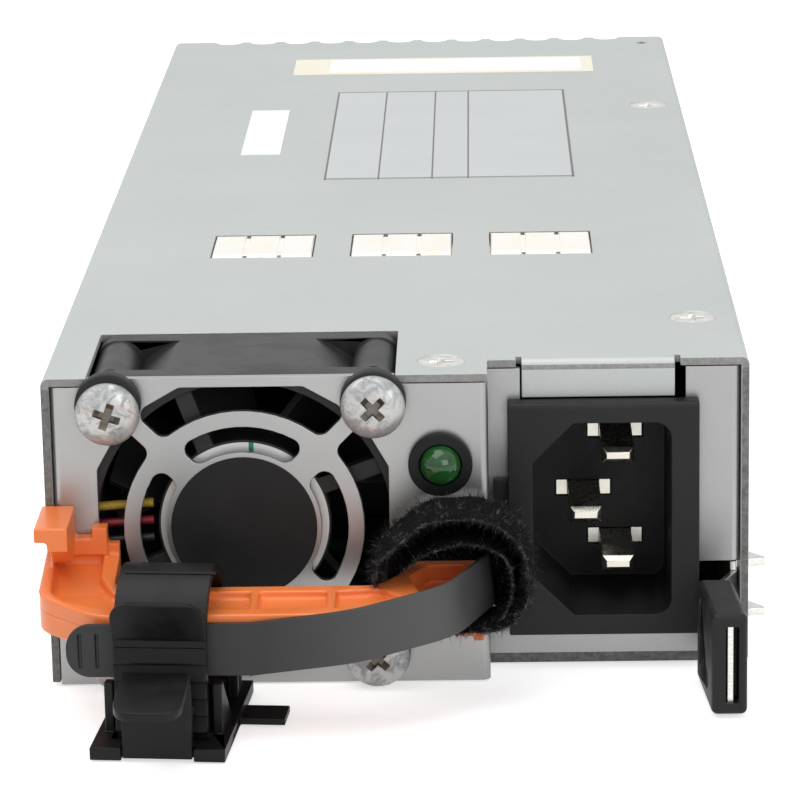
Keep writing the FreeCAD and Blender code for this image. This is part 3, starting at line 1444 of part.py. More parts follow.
def edge_contacts():
    """Plated contacts on both faces of the board's rear tongue."""
    pads = []
    tongue_x = left + s.tongue_across
    pitch = 3.4
    count = int((s.tongue_wide.value - 2) / pitch)
    for i in range(count):
        x = tongue_x - pitch * count / 2 + pitch * i
        for low in (board_top, s.board_up - 0.1):
            pads.append(box((x, back + 1, low), (x + 2.6, back + s.tongue_reach - 0.6, low + 0.1)))
    keep("edge_contacts", grouped(*pads))


def write_parts():
    doc.recompute()
    for thing in doc.Objects:
        if "Invalid" in thing.State or "Error" in thing.State:
            raise RuntimeError(f"{thing.Name} ({thing.Label}) is {thing.State}")
    for name, thing in nodes.items():
        if thing.Shape.isNull() or not thing.Shape.isValid():
            raise RuntimeError(name + " has no valid shape")
        if not thing.Shape.Solids:
            raise RuntimeError(name + " has no solid")
    os.makedirs("parts", exist_ok=True)
    for name, thing in nodes.items():
        thing.Shape.exportStep(f"parts/{name}.step")
    print(len(nodes), "nodes")


chassis_base()
top_cover()
cover_screws()
emi_clips()
labels()
fan_frame()
fan_rotor()
fan_motor()
fan_fasteners()
fan_wires()
status_lamp()
mains_inlet()
inlet_wires()
handle()
handle_band()
hook_loop_strap()
clamp_base()
clamp_loop()
clamp_lever()
latch_leaf()
latch_rivets()
latch_tab()
main_board()
board_mounting()
power_parts()
edge_contacts()
write_parts()
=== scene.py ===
import json
import math
import random

import bmesh
import bpy
from mathutils import Matrix, Vector, noise


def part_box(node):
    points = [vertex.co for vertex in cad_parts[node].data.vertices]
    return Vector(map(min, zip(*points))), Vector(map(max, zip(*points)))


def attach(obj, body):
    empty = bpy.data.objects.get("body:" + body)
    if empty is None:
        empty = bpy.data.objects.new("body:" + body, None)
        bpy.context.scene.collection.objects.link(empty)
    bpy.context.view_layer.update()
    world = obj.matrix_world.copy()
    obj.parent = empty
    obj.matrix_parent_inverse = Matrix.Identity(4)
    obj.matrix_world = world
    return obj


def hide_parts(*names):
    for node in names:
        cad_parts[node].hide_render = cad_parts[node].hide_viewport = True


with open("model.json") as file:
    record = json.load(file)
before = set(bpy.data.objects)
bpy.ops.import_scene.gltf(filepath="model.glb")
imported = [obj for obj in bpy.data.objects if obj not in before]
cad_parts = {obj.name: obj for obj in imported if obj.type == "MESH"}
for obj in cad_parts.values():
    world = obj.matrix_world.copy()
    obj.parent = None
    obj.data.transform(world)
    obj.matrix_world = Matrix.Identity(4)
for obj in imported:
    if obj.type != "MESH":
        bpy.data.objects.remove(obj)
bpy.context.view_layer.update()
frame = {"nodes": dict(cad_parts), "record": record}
MM = 0.001
BODY_OF = {}
for body, members in frame["record"]["behaviour"]["bodies"].items():
    for member in members:
        BODY_OF[member] = body

case_low, case_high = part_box("top_cover")
LEFT, RIGHT = case_low.x, case_high.x
FRONT, BACK = case_low.y, case_high.y
TOP = case_high.z


# ---------------------------------------------------------------- modelling helpers
def put_down():
    """Leave edit mode and deselect everything."""
    if bpy.context.object and bpy.context.object.mode != "OBJECT":
        bpy.ops.object.mode_set(mode="OBJECT")
    bpy.ops.object.select_all(action="DESELECT")


def take(piece):
    put_down()
    piece.select_set(True)
    bpy.context.view_layer.objects.active = piece
    return piece


def settle(piece, name=None):
    """Bake the piece's place into its mesh."""
    take(piece)
    bpy.ops.object.transform_apply(location=True, rotation=True, scale=True)
    if name:
        piece.name = name
        piece.data.name = name
    return piece


def apply_all(piece):
    take(piece)
    for modifier in list(piece.modifiers):
        bpy.ops.object.modifier_apply(modifier=modifier.name)
    return piece


def smooth(piece, angle=40):
    take(piece)
    bpy.ops.object.shade_smooth_by_angle(angle=math.radians(angle))
    return piece


def bevel(piece, width, segments=2, angle=35):
    """Round the edges that are sharper than the angle, and keep the flat faces flat."""
    rounding = piece.modifiers.new("rounding", "BEVEL")
    rounding.width = width
    rounding.segments = segments
    rounding.limit_method = "ANGLE"
    rounding.angle_limit = math.radians(angle)
    rounding.use_clamp_overlap = False
    rounding.miter_outer = "MITER_ARC"
    apply_all(piece)
    smooth(piece, 50)
    weights = piece.modifiers.new("weights", "WEIGHTED_NORMAL")
    weights.keep_sharp = True
    return apply_all(piece)


def cad_copy(node, name):
    """A copy of a CAD node with its loose triangles joined into clean faces."""
    source = frame["nodes"][node]
    piece = bpy.data.objects.new(name, source.data.copy())
    bpy.context.scene.collection.objects.link(piece)
    piece.data.materials.clear()
    take(piece)
    bpy.ops.object.mode_set(mode="EDIT")
    bpy.ops.mesh.select_all(action="SELECT")
    bpy.ops.mesh.customdata_custom_splitnormals_clear()
    bpy.ops.mesh.remove_doubles(threshold=0.004 * MM)
    bpy.ops.mesh.dissolve_limited(angle_limit=math.radians(0.8))
    put_down()
    return piece


def dress(piece, material, node, *more):
    """Give the piece its material, and let it stand for its CAD nodes."""
    piece.data.materials.clear()
    piece.data.materials.append(material)
    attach(piece, BODY_OF[node])
    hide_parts(node, *more)
    return piece


def rounded(node, material, width, segments=2, angle=35):
    piece = cad_copy(node, node + "_shape")
    bevel(piece, width, segments, angle)
    return dress(piece, material, node)


def paint(node, material):
    thing = frame["nodes"][node]
    thing.data.materials.clear()
    thing.data.materials.append(material)


# ---------------------------------------------------------------- node material helpers
class Finish:
    """A Principled material whose pattern reads object coordinates, in metres."""

    def __init__(self, name, colour, metallic=0.0, roughness=0.5, **sockets):
        self.material = bpy.data.materials.new(name)
        self.material.use_nodes = True
        self.tree = self.material.node_tree
        self.nodes = self.tree.nodes
        self.shader = self.nodes["Principled BSDF"]
        self.shader.inputs["Base Color"].default_value = (*colour, 1.0)
        self.shader.inputs["Metallic"].default_value = metallic
        self.shader.inputs["Roughness"].default_value = roughness
        for socket, value in sockets.items():
            self.shader.inputs[socket.replace("_", " ")].default_value = value
        self.where = self.nodes.new("ShaderNodeTexCoord").outputs["Object"]
        self.colour = colour

    def add(self, kind, **settings):
        node = self.nodes.new(kind)
        for key, value in settings.items():
            setattr(node, key, value)
        return node

    def link(self, output, target):
        self.tree.links.new(output, target)

    def noise(self, scale, detail=4.0, roughness=0.6, stretch=(1, 1, 1), distortion=0.0):
        """A noise field. The scale is in lumps per metre."""
        mapping = self.add("ShaderNodeMapping")
        mapping.inputs["Scale"].default_value = stretch
        self.link(self.where, mapping.inputs["Vector"])
        field = self.add("ShaderNodeTexNoise")
        field.inputs["Scale"].default_value = scale
        field.inputs["Detail"].default_value = detail
        field.inputs["Roughness"].default_value = roughness
        field.inputs["Distortion"].default_value = distortion
        self.link(mapping.outputs["Vector"], field.inputs["Vector"])
        return field.outputs["Fac"]

    def cells(self, scale, feature="F1"):
        field = self.add("ShaderNodeTexVoronoi", feature=feature)
        field.inputs["Scale"].default_value = scale
        self.link(self.where, field.inputs["Vector"])
        return field

    def ramp(self, value, *stops):
        """Map a field through stops of (place, grey or colour)."""
        band = self.add("ShaderNodeValToRGB")
        elements = band.color_ramp.elements
        while len(elements) < len(stops):
            elements.new(0.5)
        for element, (place, tone) in zip(elements, stops):
            element.position = place
            element.color = (*tone, 1.0) if isinstance(tone, tuple) else (tone, tone, tone, 1.0)
        self.link(value, band.inputs["Fac"])
        return band.outputs["Color"]

    def blend(self, factor, first, second):
        """Mix two colours, each a tuple or a socket."""
        mix = self.add("ShaderNodeMix", data_type="RGBA")
        self.connect(factor, mix.inputs["Factor"])
        self.connect(first, mix.inputs["A"])
        self.connect(second, mix.inputs["B"])
        return mix.outputs["Result"]

    def connect(self, value, socket):
        if isinstance(value, bpy.types.NodeSocket):
            self.link(value, socket)
        elif isinstance(value, tuple):
            socket.default_value = (*value, 1.0)
        else:
            socket.default_value = value

    def maths(self, operation, first, second=0.0, clamp=False):
        node = self.add("ShaderNodeMath", operation=operation, use_clamp=clamp)
        self.connect(first, node.inputs[0])
        self.connect(second, node.inputs[1])
        return node.outputs["Value"]

    def axis(self, name):
        split = self.add("ShaderNodeSeparateXYZ")
        self.link(self.where, split.inputs["Vector"])
        return split.outputs[name]

    def facing(self, name):
        """How far the true surface faces along an axis, from -1 to 1."""
        geometry = self.add("ShaderNodeNewGeometry")
        split = self.add("ShaderNodeSeparateXYZ")
        self.link(geometry.outputs["True Normal"], split.inputs["Vector"])
        return split.outputs[name]

    def base(self, colour):
        self.connect(colour, self.shader.inputs["Base Color"])

    def rough(self, value):
        self.connect(value, self.shader.inputs["Roughness"])

    def bump(self, height, strength=0.3, depth=0.0002):
        bump = self.add("ShaderNodeBump")
        bump.inputs["Strength"].default_value = strength
        bump.inputs["Distance"].default_value = depth
        self.link(height, bump.inputs["Height"])
        self.link(bump.outputs["Normal"], self.shader.inputs["Normal"])
        return bump


def speckle(finish, density=900.0, low=0.36, high=0.62):
    """Fine light and dark grains."""
    return finish.ramp(finish.noise(density, 6.0, 0.75), (low, 0.0), (high, 1.0))


# ---------------------------------------------------------------- finishes
def galvanised_cover():
    """Zinc-coated sheet: an even grey-green face, and dark rough metal where the sheet was cut."""
    f = Finish("galvanised_cover", (0.60, 0.63, 0.62), metallic=0.35, roughness=0.5)
    cloud = f.noise(38, 3.0, 0.5)
    grain = f.noise(2600, 3.0, 0.6)
    face = f.blend(f.ramp(cloud, (0.3, 0.0), (0.7, 1.0)), (0.465, 0.492, 0.482), (0.495, 0.52, 0.51))
    face = f.blend(f.maths("MULTIPLY", f.ramp(grain, (0.35, 0.0), (0.75, 1.0)), 0.10), face, (0.36, 0.38, 0.37))
    forward = f.maths("LESS_THAN", f.facing("Y"), -0.9)
    flap_low = f.maths("LESS_THAN", f.axis("Z"), TOP - 1.3 * MM)
    grains = speckle(f, 1500, 0.3, 0.7)
    bright_cut = f.blend(grains, (0.17, 0.168, 0.162), (0.31, 0.31, 0.30))
    dark_cut = f.blend(grains, (0.07, 0.068, 0.065), (0.22, 0.218, 0.21))
    cut = f.blend(flap_low, bright_cut, dark_cut)
    inlet_low, inlet_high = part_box("inlet_housing")
    beyond = f.maths("GREATER_THAN", f.axis("X"), inlet_low.x + 1.0 * MM)
    before = f.maths("LESS_THAN", f.axis("X"), inlet_high.x - 1.0 * MM)
    flap = f.maths("MULTIPLY", flap_low, f.maths("MULTIPLY", beyond, before))
    edge = f.maths("MULTIPLY", forward, f.maths("SUBTRACT", 1.0, flap))
    f.base(f.blend(edge, face, cut))
    f.rough(f.ramp(grain, (0.2, 0.42), (0.8, 0.56)))
    f.bump(grain, 0.12, 0.00005)
    return f.material


def panel_steel():
    """The chassis sheet: a darker satin grey than the cover. Its undersides are painted dark as painted shade, and its
    front edge at the floor is dark rough cut steel with painted shade.
    """
    f = Finish("panel_steel", (0.34, 0.34, 0.335), metallic=0.9, roughness=0.34)
    cloud = f.ramp(f.noise(60, 3.0, 0.5), (0.3, 0.0), (0.7, 1.0))
    grain = f.noise(3000, 3.0, 0.6)
    face = f.blend(cloud, (0.33, 0.332, 0.33), (0.37, 0.372, 0.37))
    # Faces turned down are painted dark: painted shade under the sheet.
    underside_shade = f.maths("LESS_THAN", f.facing("Z"), -0.9)
    up = f.maths("GREATER_THAN", f.facing("Z"), 0.9)
    low = f.maths("LESS_THAN", f.axis("Z"), 1.3 * MM)
    forward = f.maths("LESS_THAN", f.facing("Y"), -0.9)
    inlet_low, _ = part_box("inlet_housing")
    behind = f.maths("GREATER_THAN", f.axis("Y"), FRONT + 2.0 * MM)
    # The front edge at the floor is painted dark: rough cut steel, and painted shade in the gap at the floor.
    floor_edge_cut_and_shade = f.maths("MULTIPLY", f.maths("MULTIPLY", low, forward), behind)
    cut = f.blend(speckle(f, 1300, 0.3, 0.7), (0.045, 0.044, 0.042), (0.15, 0.148, 0.143))
    f.base(f.blend(f.maths("MAXIMUM", underside_shade, floor_edge_cut_and_shade), face, cut))
    f.rough(f.ramp(grain, (0.2, 0.30), (0.8, 0.42)))
    f.bump(grain, 0.08, 0.00004)
    return f.material


def bright_steel():
    f = Finish("bright_steel", (0.70, 0.69, 0.66), metallic=1.0, roughness=0.28)
    grain = f.noise(900, 5.0, 0.7, stretch=(1, 1, 6))
    f.base(f.blend(f.ramp(grain, (0.35, 0.0), (0.65, 1.0)), (0.55, 0.54, 0.51), (0.78, 0.77, 0.74)))
    f.rough(f.ramp(grain, (0.2, 0.22), (0.8, 0.40)))
    return f.material


def worn_zinc():
    """Screw heads with white bloom, dark scuffs and a trace of rust."""
    f = Finish("worn_zinc", (0.70, 0.69, 0.68), metallic=0.45, roughness=0.42)
    patches = f.ramp(f.noise(420, 6.0, 0.65, distortion=1.2), (0.46, 0.0), (0.58, 1.0))
    scuffs = f.ramp(f.noise(1500, 6.0, 0.75, distortion=0.6), (0.56, 0.0), (0.66, 1.0))
    rust = f.ramp(f.noise(300, 4.0, 0.6), (0.62, 0.0), (0.72, 1.0))
    tone = f.blend(patches, (0.52, 0.52, 0.50), (0.33, 0.345, 0.355))
    tone = f.blend(f.maths("MULTIPLY", scuffs, 0.6), tone, (0.13, 0.14, 0.15))
    tone = f.blend(f.maths("MULTIPLY", rust, 0.3), tone, (0.42, 0.22, 0.17))
    f.base(tone)
    f.rough(f.ramp(patches, (0.0, 0.32), (1.0, 0.6)))
    f.bump(f.noise(1800, 5.0, 0.7), 0.35, 0.00008)
    return f.material


def spring_metal():
    f = Finish("spring_metal", (0.95, 0.93, 0.86), metallic=0.85, roughness=0.2)
    smear = f.ramp(f.noise(160, 3.0, 0.6, stretch=(1, 0.3, 1)), (0.3, 0.0), (0.7, 1.0))
    f.base(f.blend(smear, (0.97, 0.95, 0.90), (0.93, 0.88, 0.76)))
    return f.material


def black_plastic(name, tone, roughness, grain_size=2200, dust=0.06, relief=0.1, wear=0.0):
    """Moulded black plastic with a fine grain, specks of dust and paler rubbed patches."""
    f = Finish(name, (tone, tone, tone * 1.05), roughness=roughness, Specular_IOR_Level=0.22)
    grain = f.noise(grain_size, 3.0, 0.6)
    specks = f.ramp(f.noise(1700, 6.0, 0.8), (0.67, 0.0), (0.72, 1.0))
    rub = f.ramp(f.noise(90, 5.0, 0.7, distortion=0.8), (0.45, 0.0), (0.75, 1.0))
    dark = (tone, tone, tone * 1.05)
    pale = (tone * 2.2, tone * 2.2, tone * 2.3)
    face = f.blend(f.maths("MULTIPLY", rub, 0.5 + wear), dark, pale)
    f.base(f.blend(f.maths("MULTIPLY", specks, dust), face, (0.5, 0.49, 0.47)))
    f.rough(f.ramp(rub, (0.0, roughness - 0.05), (1.0, roughness + 0.12)))
    f.bump(grain, relief, 0.0001)
    return f.material


def orange_plastic():
    """Glossy orange moulding with a fine parting line round its side."""
    f = Finish("orange_plastic", (0.86, 0.17, 0.03), roughness=0.32)
    low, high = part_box("handle")
    cloud = f.ramp(f.noise(70, 3.0, 0.5), (0.3, 0.0), (0.7, 1.0))
    face = f.blend(cloud, (0.80, 0.19, 0.045), (0.85, 0.22, 0.055))
    scuff = f.ramp(f.noise(1100, 6.0, 0.8), (0.66, 0.0), (0.74, 1.0))
    face = f.blend(f.maths("MULTIPLY", scuff, 0.25), face, (0.9, 0.45, 0.25))
    height = f.maths("SUBTRACT", f.axis("Z"), high.z - 6.9 * MM - 2.6 * MM)
    line = f.maths("LESS_THAN", f.maths("ABSOLUTE", height), 0.06 * MM)
    side = f.maths("LESS_THAN", f.maths("ABSOLUTE", f.facing("Z")), 0.3)
    parting = f.maths("MULTIPLY", line, side)
    f.base(f.blend(f.maths("MULTIPLY", parting, 0.45), face, (0.35, 0.05, 0.01)))
    f.rough(f.ramp(cloud, (0.0, 0.28), (1.0, 0.38)))
    f.bump(f.noise(1400, 3.0, 0.6), 0.05, 0.00006)
    return f.material


def soft_band():
    f = Finish("soft_band", (0.03, 0.032, 0.034), roughness=0.5, Specular_IOR_Level=0.4)
    streak = f.ramp(f.noise(120, 5.0, 0.7, stretch=(0.4, 0.4, 1.5), distortion=0.7), (0.4, 0.0), (0.75, 1.0))
    scratch = f.ramp(f.noise(900, 5.0, 0.8, distortion=2.0), (0.66, 0.0), (0.72, 1.0))
    face = f.blend(streak, (0.015, 0.0155, 0.016), (0.023, 0.0235, 0.024))
    # Paler towards the band's right end: a painted highlight where the band catches the light.
    across = f.maths("DIVIDE", f.maths("SUBTRACT", f.axis("X"), LEFT), 55 * MM)
    right_end_highlight = f.ramp(across, (0.5, 0.0), (0.85, 1.0))
    face = f.blend(f.maths("MULTIPLY", right_end_highlight, 0.6), face, (0.095, 0.095, 0.095))
    f.base(f.blend(f.maths("MULTIPLY", scratch, 0.25), face, (0.16, 0.16, 0.16)))
    f.rough(f.ramp(streak, (0.0, 0.44), (1.0, 0.6)))
    f.bump(f.noise(2400, 3.0, 0.6), 0.08, 0.00005)
    return f.material


def strap_fabric():
    """Knitted hook-and-loop tape, dull black with paler fibres, and a painted highlight on its front rims."""
    f = Finish("strap_fabric", (0.006, 0.006, 0.007), roughness=0.95, Specular_IOR_Level=0.08)
    knit = f.cells(1700)
    lint = f.ramp(f.noise(2600, 6.0, 0.8), (0.55, 0.0), (0.72, 1.0))
    # Lint is made paler on faces turned to the front, the tape's rims: real lint, strengthened as a painted highlight
    # on the rims.
    rim = f.ramp(f.maths("MULTIPLY", f.facing("Y"), -1.0), (0.3, 0.0), (0.9, 1.0))
    lint = f.maths("MULTIPLY", lint, f.maths("ADD", f.maths("MULTIPLY", rim, 0.55), 0.18))
    f.base(f.blend(lint, (0.005, 0.005, 0.0055), (0.16, 0.16, 0.165)))
    f.bump(knit.outputs["Distance"], 0.7, 0.0003)
    return f.material


def pale_fibre():
    """The frayed, paler threads along the strap's cut rims."""
    f = Finish("pale_fibre", (0.08, 0.08, 0.085), roughness=0.7, Specular_IOR_Level=0.15)
    tone = f.ramp(f.noise(900, 3.0, 0.6), (0.42, 0.0), (0.62, 1.0))
    f.base(f.blend(tone, (0.03, 0.03, 0.032), (0.16, 0.16, 0.165)))
    return f.material


def strap_fibre():
    f = Finish("strap_fibre", (0.03, 0.03, 0.032), roughness=0.6, Specular_IOR_Level=0.15)
    tone = f.ramp(f.noise(900, 2.0, 0.5), (0.58, 0.0), (0.70, 1.0))
    f.base(f.blend(tone, (0.009, 0.009, 0.0095), (0.16, 0.16, 0.165)))
    return f.material


def green_lens():
    f = Finish("green_lens", (0.02, 0.16, 0.03), roughness=0.08, Transmission_Weight=0.35, IOR=1.5)
    depth = f.ramp(f.noise(260, 3.0, 0.6), (0.3, 0.0), (0.7, 1.0))
    f.base(f.blend(depth, (0.008, 0.07, 0.014), (0.03, 0.17, 0.04)))
    return f.material


def label_film(name, tone, lines=(), ends=()):
    """Smooth label stock with thin rules: lines lie right of the case's left wall, ends behind its front."""
    f = Finish(name, tone, roughness=0.45)
    mottle = f.ramp(f.noise(55, 4.0, 0.6), (0.35, 0.0), (0.65, 1.0))
    paler = tuple(min(1.0, c * 1.04) for c in tone)
    face = f.blend(mottle, tone, paler)
    for across, wide in lines:
        away = f.maths("ABSOLUTE", f.maths("SUBTRACT", f.axis("X"), LEFT + across * MM))
        face = f.blend(f.maths("LESS_THAN", away, wide * MM / 2), face, (0.10, 0.10, 0.10))
    for along, wide in ends:
        away = f.maths("ABSOLUTE", f.maths("SUBTRACT", f.axis("Y"), FRONT + along * MM))
        face = f.blend(f.maths("LESS_THAN", away, wide * MM / 2), face, (0.10, 0.10, 0.10))
    f.base(face)
    f.bump(f.noise(300, 4.0, 0.6), 0.06, 0.00005)
    return f.material


def hub_foil():
    """The fan hub's silver label, with one green tick near its top."""
    f = Finish("hub_label", (0.66, 0.67, 0.66), metallic=0.3, roughness=0.42)
    mottle = f.ramp(f.noise(80, 4.0, 0.6), (0.3, 0.0), (0.7, 1.0))
    face = f.blend(mottle, (0.62, 0.63, 0.62), (0.70, 0.71, 0.70))
    low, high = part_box("fan_hub_label")
    away = f.maths("ABSOLUTE", f.maths("SUBTRACT", f.axis("X"), (low.x + high.x) / 2 + 1.0 * MM))
    tick = f.maths("LESS_THAN", away, 0.3 * MM)
    above = f.maths("GREATER_THAN", f.axis("Z"), (low.z + high.z) / 2)
    f.base(f.blend(f.maths("MULTIPLY", tick, above), face, (0.02, 0.22, 0.10)))
    return f.material


def plain(name, tone, metallic=0.0, roughness=0.5, scale=400, spread=0.25, relief=0.1, **sockets):
    """A quiet finish whose tone and gloss vary a little."""
    f = Finish(name, tone, metallic=metallic, roughness=roughness, **sockets)
    field = f.ramp(f.noise(scale, 5.0, 0.65), (0.3, 0.0), (0.7, 1.0))
    dark = tuple(c * (1 - spread) for c in tone)
    pale = tuple(min(1.0, c * (1 + spread)) for c in tone)
    f.base(f.blend(field, dark, pale))
    f.rough(f.ramp(field, (0.0, max(0.05, roughness - 0.06)), (1.0, roughness + 0.08)))
    f.bump(f.noise(scale * 4, 3.0, 0.6), relief, 0.00006)
    return f.material


COVER = galvanised_cover()
PANEL = panel_steel()
STEEL = bright_steel()
ZINC = worn_zinc()
# Dark brown finish for the screws' Phillips recesses: painted shade in the recess.
RECESS_SHADE = plain("screw_recess_shade", (0.16, 0.145, 0.12), metallic=0.8, roughness=0.45, scale=900)
SPRING = spring_metal()
ORANGE = orange_plastic()
BAND = soft_band()
STRAP = strap_fabric()
FIBRE = strap_fibre()
PALE_FIBRE = pale_fibre()
GREEN = green_lens()
FAN_BLACK = black_plastic("fan_plastic", 0.02, 0.45, dust=0.12)
NYLON = black_plastic("clamp_nylon", 0.004, 0.45, dust=0.1, wear=0.3)
INLET_BLACK = black_plastic("inlet_plastic", 0.012, 0.5, 1500, dust=0.05, relief=0.35)
RUBBER = black_plastic("grommet_rubber", 0.018, 0.6, dust=0.25, relief=0.25)
STICKER = black_plastic("sticker_black", 0.009, 0.55, 600, dust=0.04, relief=0.2)
PINS = plain("tinned_brass", (0.62, 0.60, 0.53), metallic=1.0, roughness=0.25, spread=0.08)
COPPER = plain("enamelled_copper", (0.55, 0.22, 0.08), metallic=1.0, roughness=0.3)
BOARD = plain("board_green", (0.02, 0.13, 0.05), roughness=0.4)
ALUMINIUM = plain("aluminium", (0.62, 0.62, 0.62), metallic=1.0, roughness=0.35, spread=0.08)
FERRITE = plain("ferrite", (0.06, 0.06, 0.06), roughness=0.8)
CHIP = plain("chip_black", (0.02, 0.02, 0.02), roughness=0.6)
GOLD = plain("gold", (0.83, 0.57, 0.2), metallic=1.0, roughness=0.2, spread=0.06)
# The yellow and red wires are dimmed below their own colour: painted shade.
SHADED_YELLOW_WIRE = plain("wire_yellow", (0.40, 0.27, 0.025), roughness=0.35)
SHADED_RED_WIRE = plain("wire_red", (0.20, 0.008, 0.015), roughness=0.35)
BLACK_WIRE = plain("wire_black", (0.015, 0.015, 0.015), roughness=0.4)
WHITE_PLASTIC = plain("white_plastic", (0.70, 0.70, 0.66), roughness=0.4, spread=0.05)
TAPE_YELLOW = plain("winding_tape", (0.72, 0.50, 0.05), roughness=0.4, spread=0.1)
SLEEVE = plain("capacitor_sleeve", (0.015, 0.02, 0.06), roughness=0.3)
FILM = plain("insulation_film", (0.10, 0.10, 0.10), roughness=0.5)
MAGNET = plain("magnet", (0.05, 0.045, 0.04), roughness=0.7)
RULES = ((30.5, 0.3), (38.4, 0.25), (46.35, 0.25), (51.7, 0.25), (67.2, 0.35))
RATING = label_film("rating_label", (0.49, 0.51, 0.515), lines=RULES, ends=((112.2, 0.4), (179.2, 0.5)))
SMALL_WHITE = label_film("small_white_label", (0.86, 0.87, 0.88))
CREAM = label_film("cream_tape", (0.80, 0.76, 0.62))
PAPER = label_film("paper", (0.88, 0.88, 0.86))
HUB_LABEL = hub_foil()

# ---------------------------------------------------------------- CAD pieces with rounded edges
ROUNDED = {
    "top_cover": (COVER, 0.10), "chassis_base": (PANEL, 0.10),
    "emi_clips": (SPRING, 0.06), "cover_screws": (STEEL, 0.05),
    "fan_frame": (FAN_BLACK, 0.15), "fan_rotor": (FAN_BLACK, 0.10),
    "fan_grommets": (RUBBER, 0.3), "led_bezel": (NYLON, 0.15),
    "inlet_housing": (INLET_BLACK, 0.18), "inlet_pins": (PINS, 0.08),
    "clamp_base": (NYLON, 0.15), "clamp_loop": (NYLON, 0.1),
    "clamp_lever": (NYLON, 0.12), "latch_leaf": (STEEL, 0.12),
    "transformer_core": (FERRITE, 0.3), "inrush_relay": (CHIP, 0.3),
}
for node, (material, width) in ROUNDED.items():
    rounded(node, material, width * MM)

PAINTED = {
    "rating_label": RATING, "small_label": SMALL_WHITE, "tape_strip": CREAM, "paper_strip": PAPER,
    "fan_shaft": STEEL, "fan_bearings": STEEL, "fan_magnet": MAGNET, "fan_stator": COPPER,
    "fan_hub_label": HUB_LABEL, "grille_sticker": STICKER,
    "fan_wire_yellow": SHADED_YELLOW_WIRE, "fan_wire_red": SHADED_RED_WIRE, "fan_wire_black": BLACK_WIRE, "fan_plug": WHITE_PLASTIC,
    "led_lens": GREEN, "led_leads": STEEL, "inlet_wires": BLACK_WIRE,
    "latch_rivets": STEEL,
    "main_board": BOARD, "board_standoffs": PINS, "board_screws": ZINC, "insulation_sheet": FILM,
    "line_choke_core": FERRITE, "line_choke_winding": COPPER,
    "boost_choke_core": FERRITE, "boost_choke_winding": COPPER,
    "film_capacitor": TAPE_YELLOW, "input_fuse": WHITE_PLASTIC, "bulk_capacitors": SLEEVE,
    "primary_heatsink": ALUMINIUM, "secondary_heatsink": ALUMINIUM, "power_transistors": CHIP,
    "transformer_winding": TAPE_YELLOW, "output_capacitors": SLEEVE,
    "control_board": BOARD, "control_chips": CHIP, "output_busbars": COPPER, "edge_contacts": GOLD,
}
for node, material in PAINTED.items():
    paint(node, material)


# ---------------------------------------------------------------- modelled pieces
def join(name, pieces):
    take(pieces[0])
    for piece in pieces[1:]:
        piece.select_set(True)
    if len(pieces) > 1:
        bpy.ops.object.join()
    return settle(bpy.context.object, name)


def cut(piece, cutters):
    """Take the cutters out of a piece."""
    tool = join("cutter", cutters)
    hole = piece.modifiers.new("hole", "BOOLEAN")
    hole.operation = "DIFFERENCE"
    hole.solver = "EXACT"
    hole.object = tool
    apply_all(piece)
    bpy.data.objects.remove(tool, do_unlink=True)
    return piece


def block(low, high):
    put_down()
    bpy.ops.mesh.primitive_cube_add(size=1.0, location=[(a + b) / 2 for a, b in zip(low, high)])
    cube = bpy.context.object
    cube.scale = [b - a for a, b in zip(low, high)]
    return settle(cube)


def from_bmesh(mesh, name):
    bmesh.ops.recalc_face_normals(mesh, faces=mesh.faces)
    data = bpy.data.meshes.new(name)
    mesh.to_mesh(data)
    mesh.free()
    piece = bpy.data.objects.new(name, data)
    bpy.context.scene.collection.objects.link(piece)
    return piece


def turned(profile, at, segments=56):
    """A solid turned about a line along Y. The profile runs (radius, Y) from the axis to the axis."""
    mesh = bmesh.new()
    rings = []
    for radius, y in profile:
        count = 1 if radius < 1e-9 else segments
        ring = []
        for i in range(count):
            angle = 2 * math.pi * i / segments
            spot = Vector((radius * math.cos(angle), y, radius * math.sin(angle)))
            ring.append(mesh.verts.new(spot + Vector(at)))
        rings.append(ring)
    for near, far in zip(rings, rings[1:]):
        for i in range(segments):
            corners = [near[i % len(near)], near[(i + 1) % len(near)], far[(i + 1) % len(far)], far[i % len(far)]]
            mesh.faces.new(list(dict.fromkeys(corners)))
    return from_bmesh(mesh, "turned")


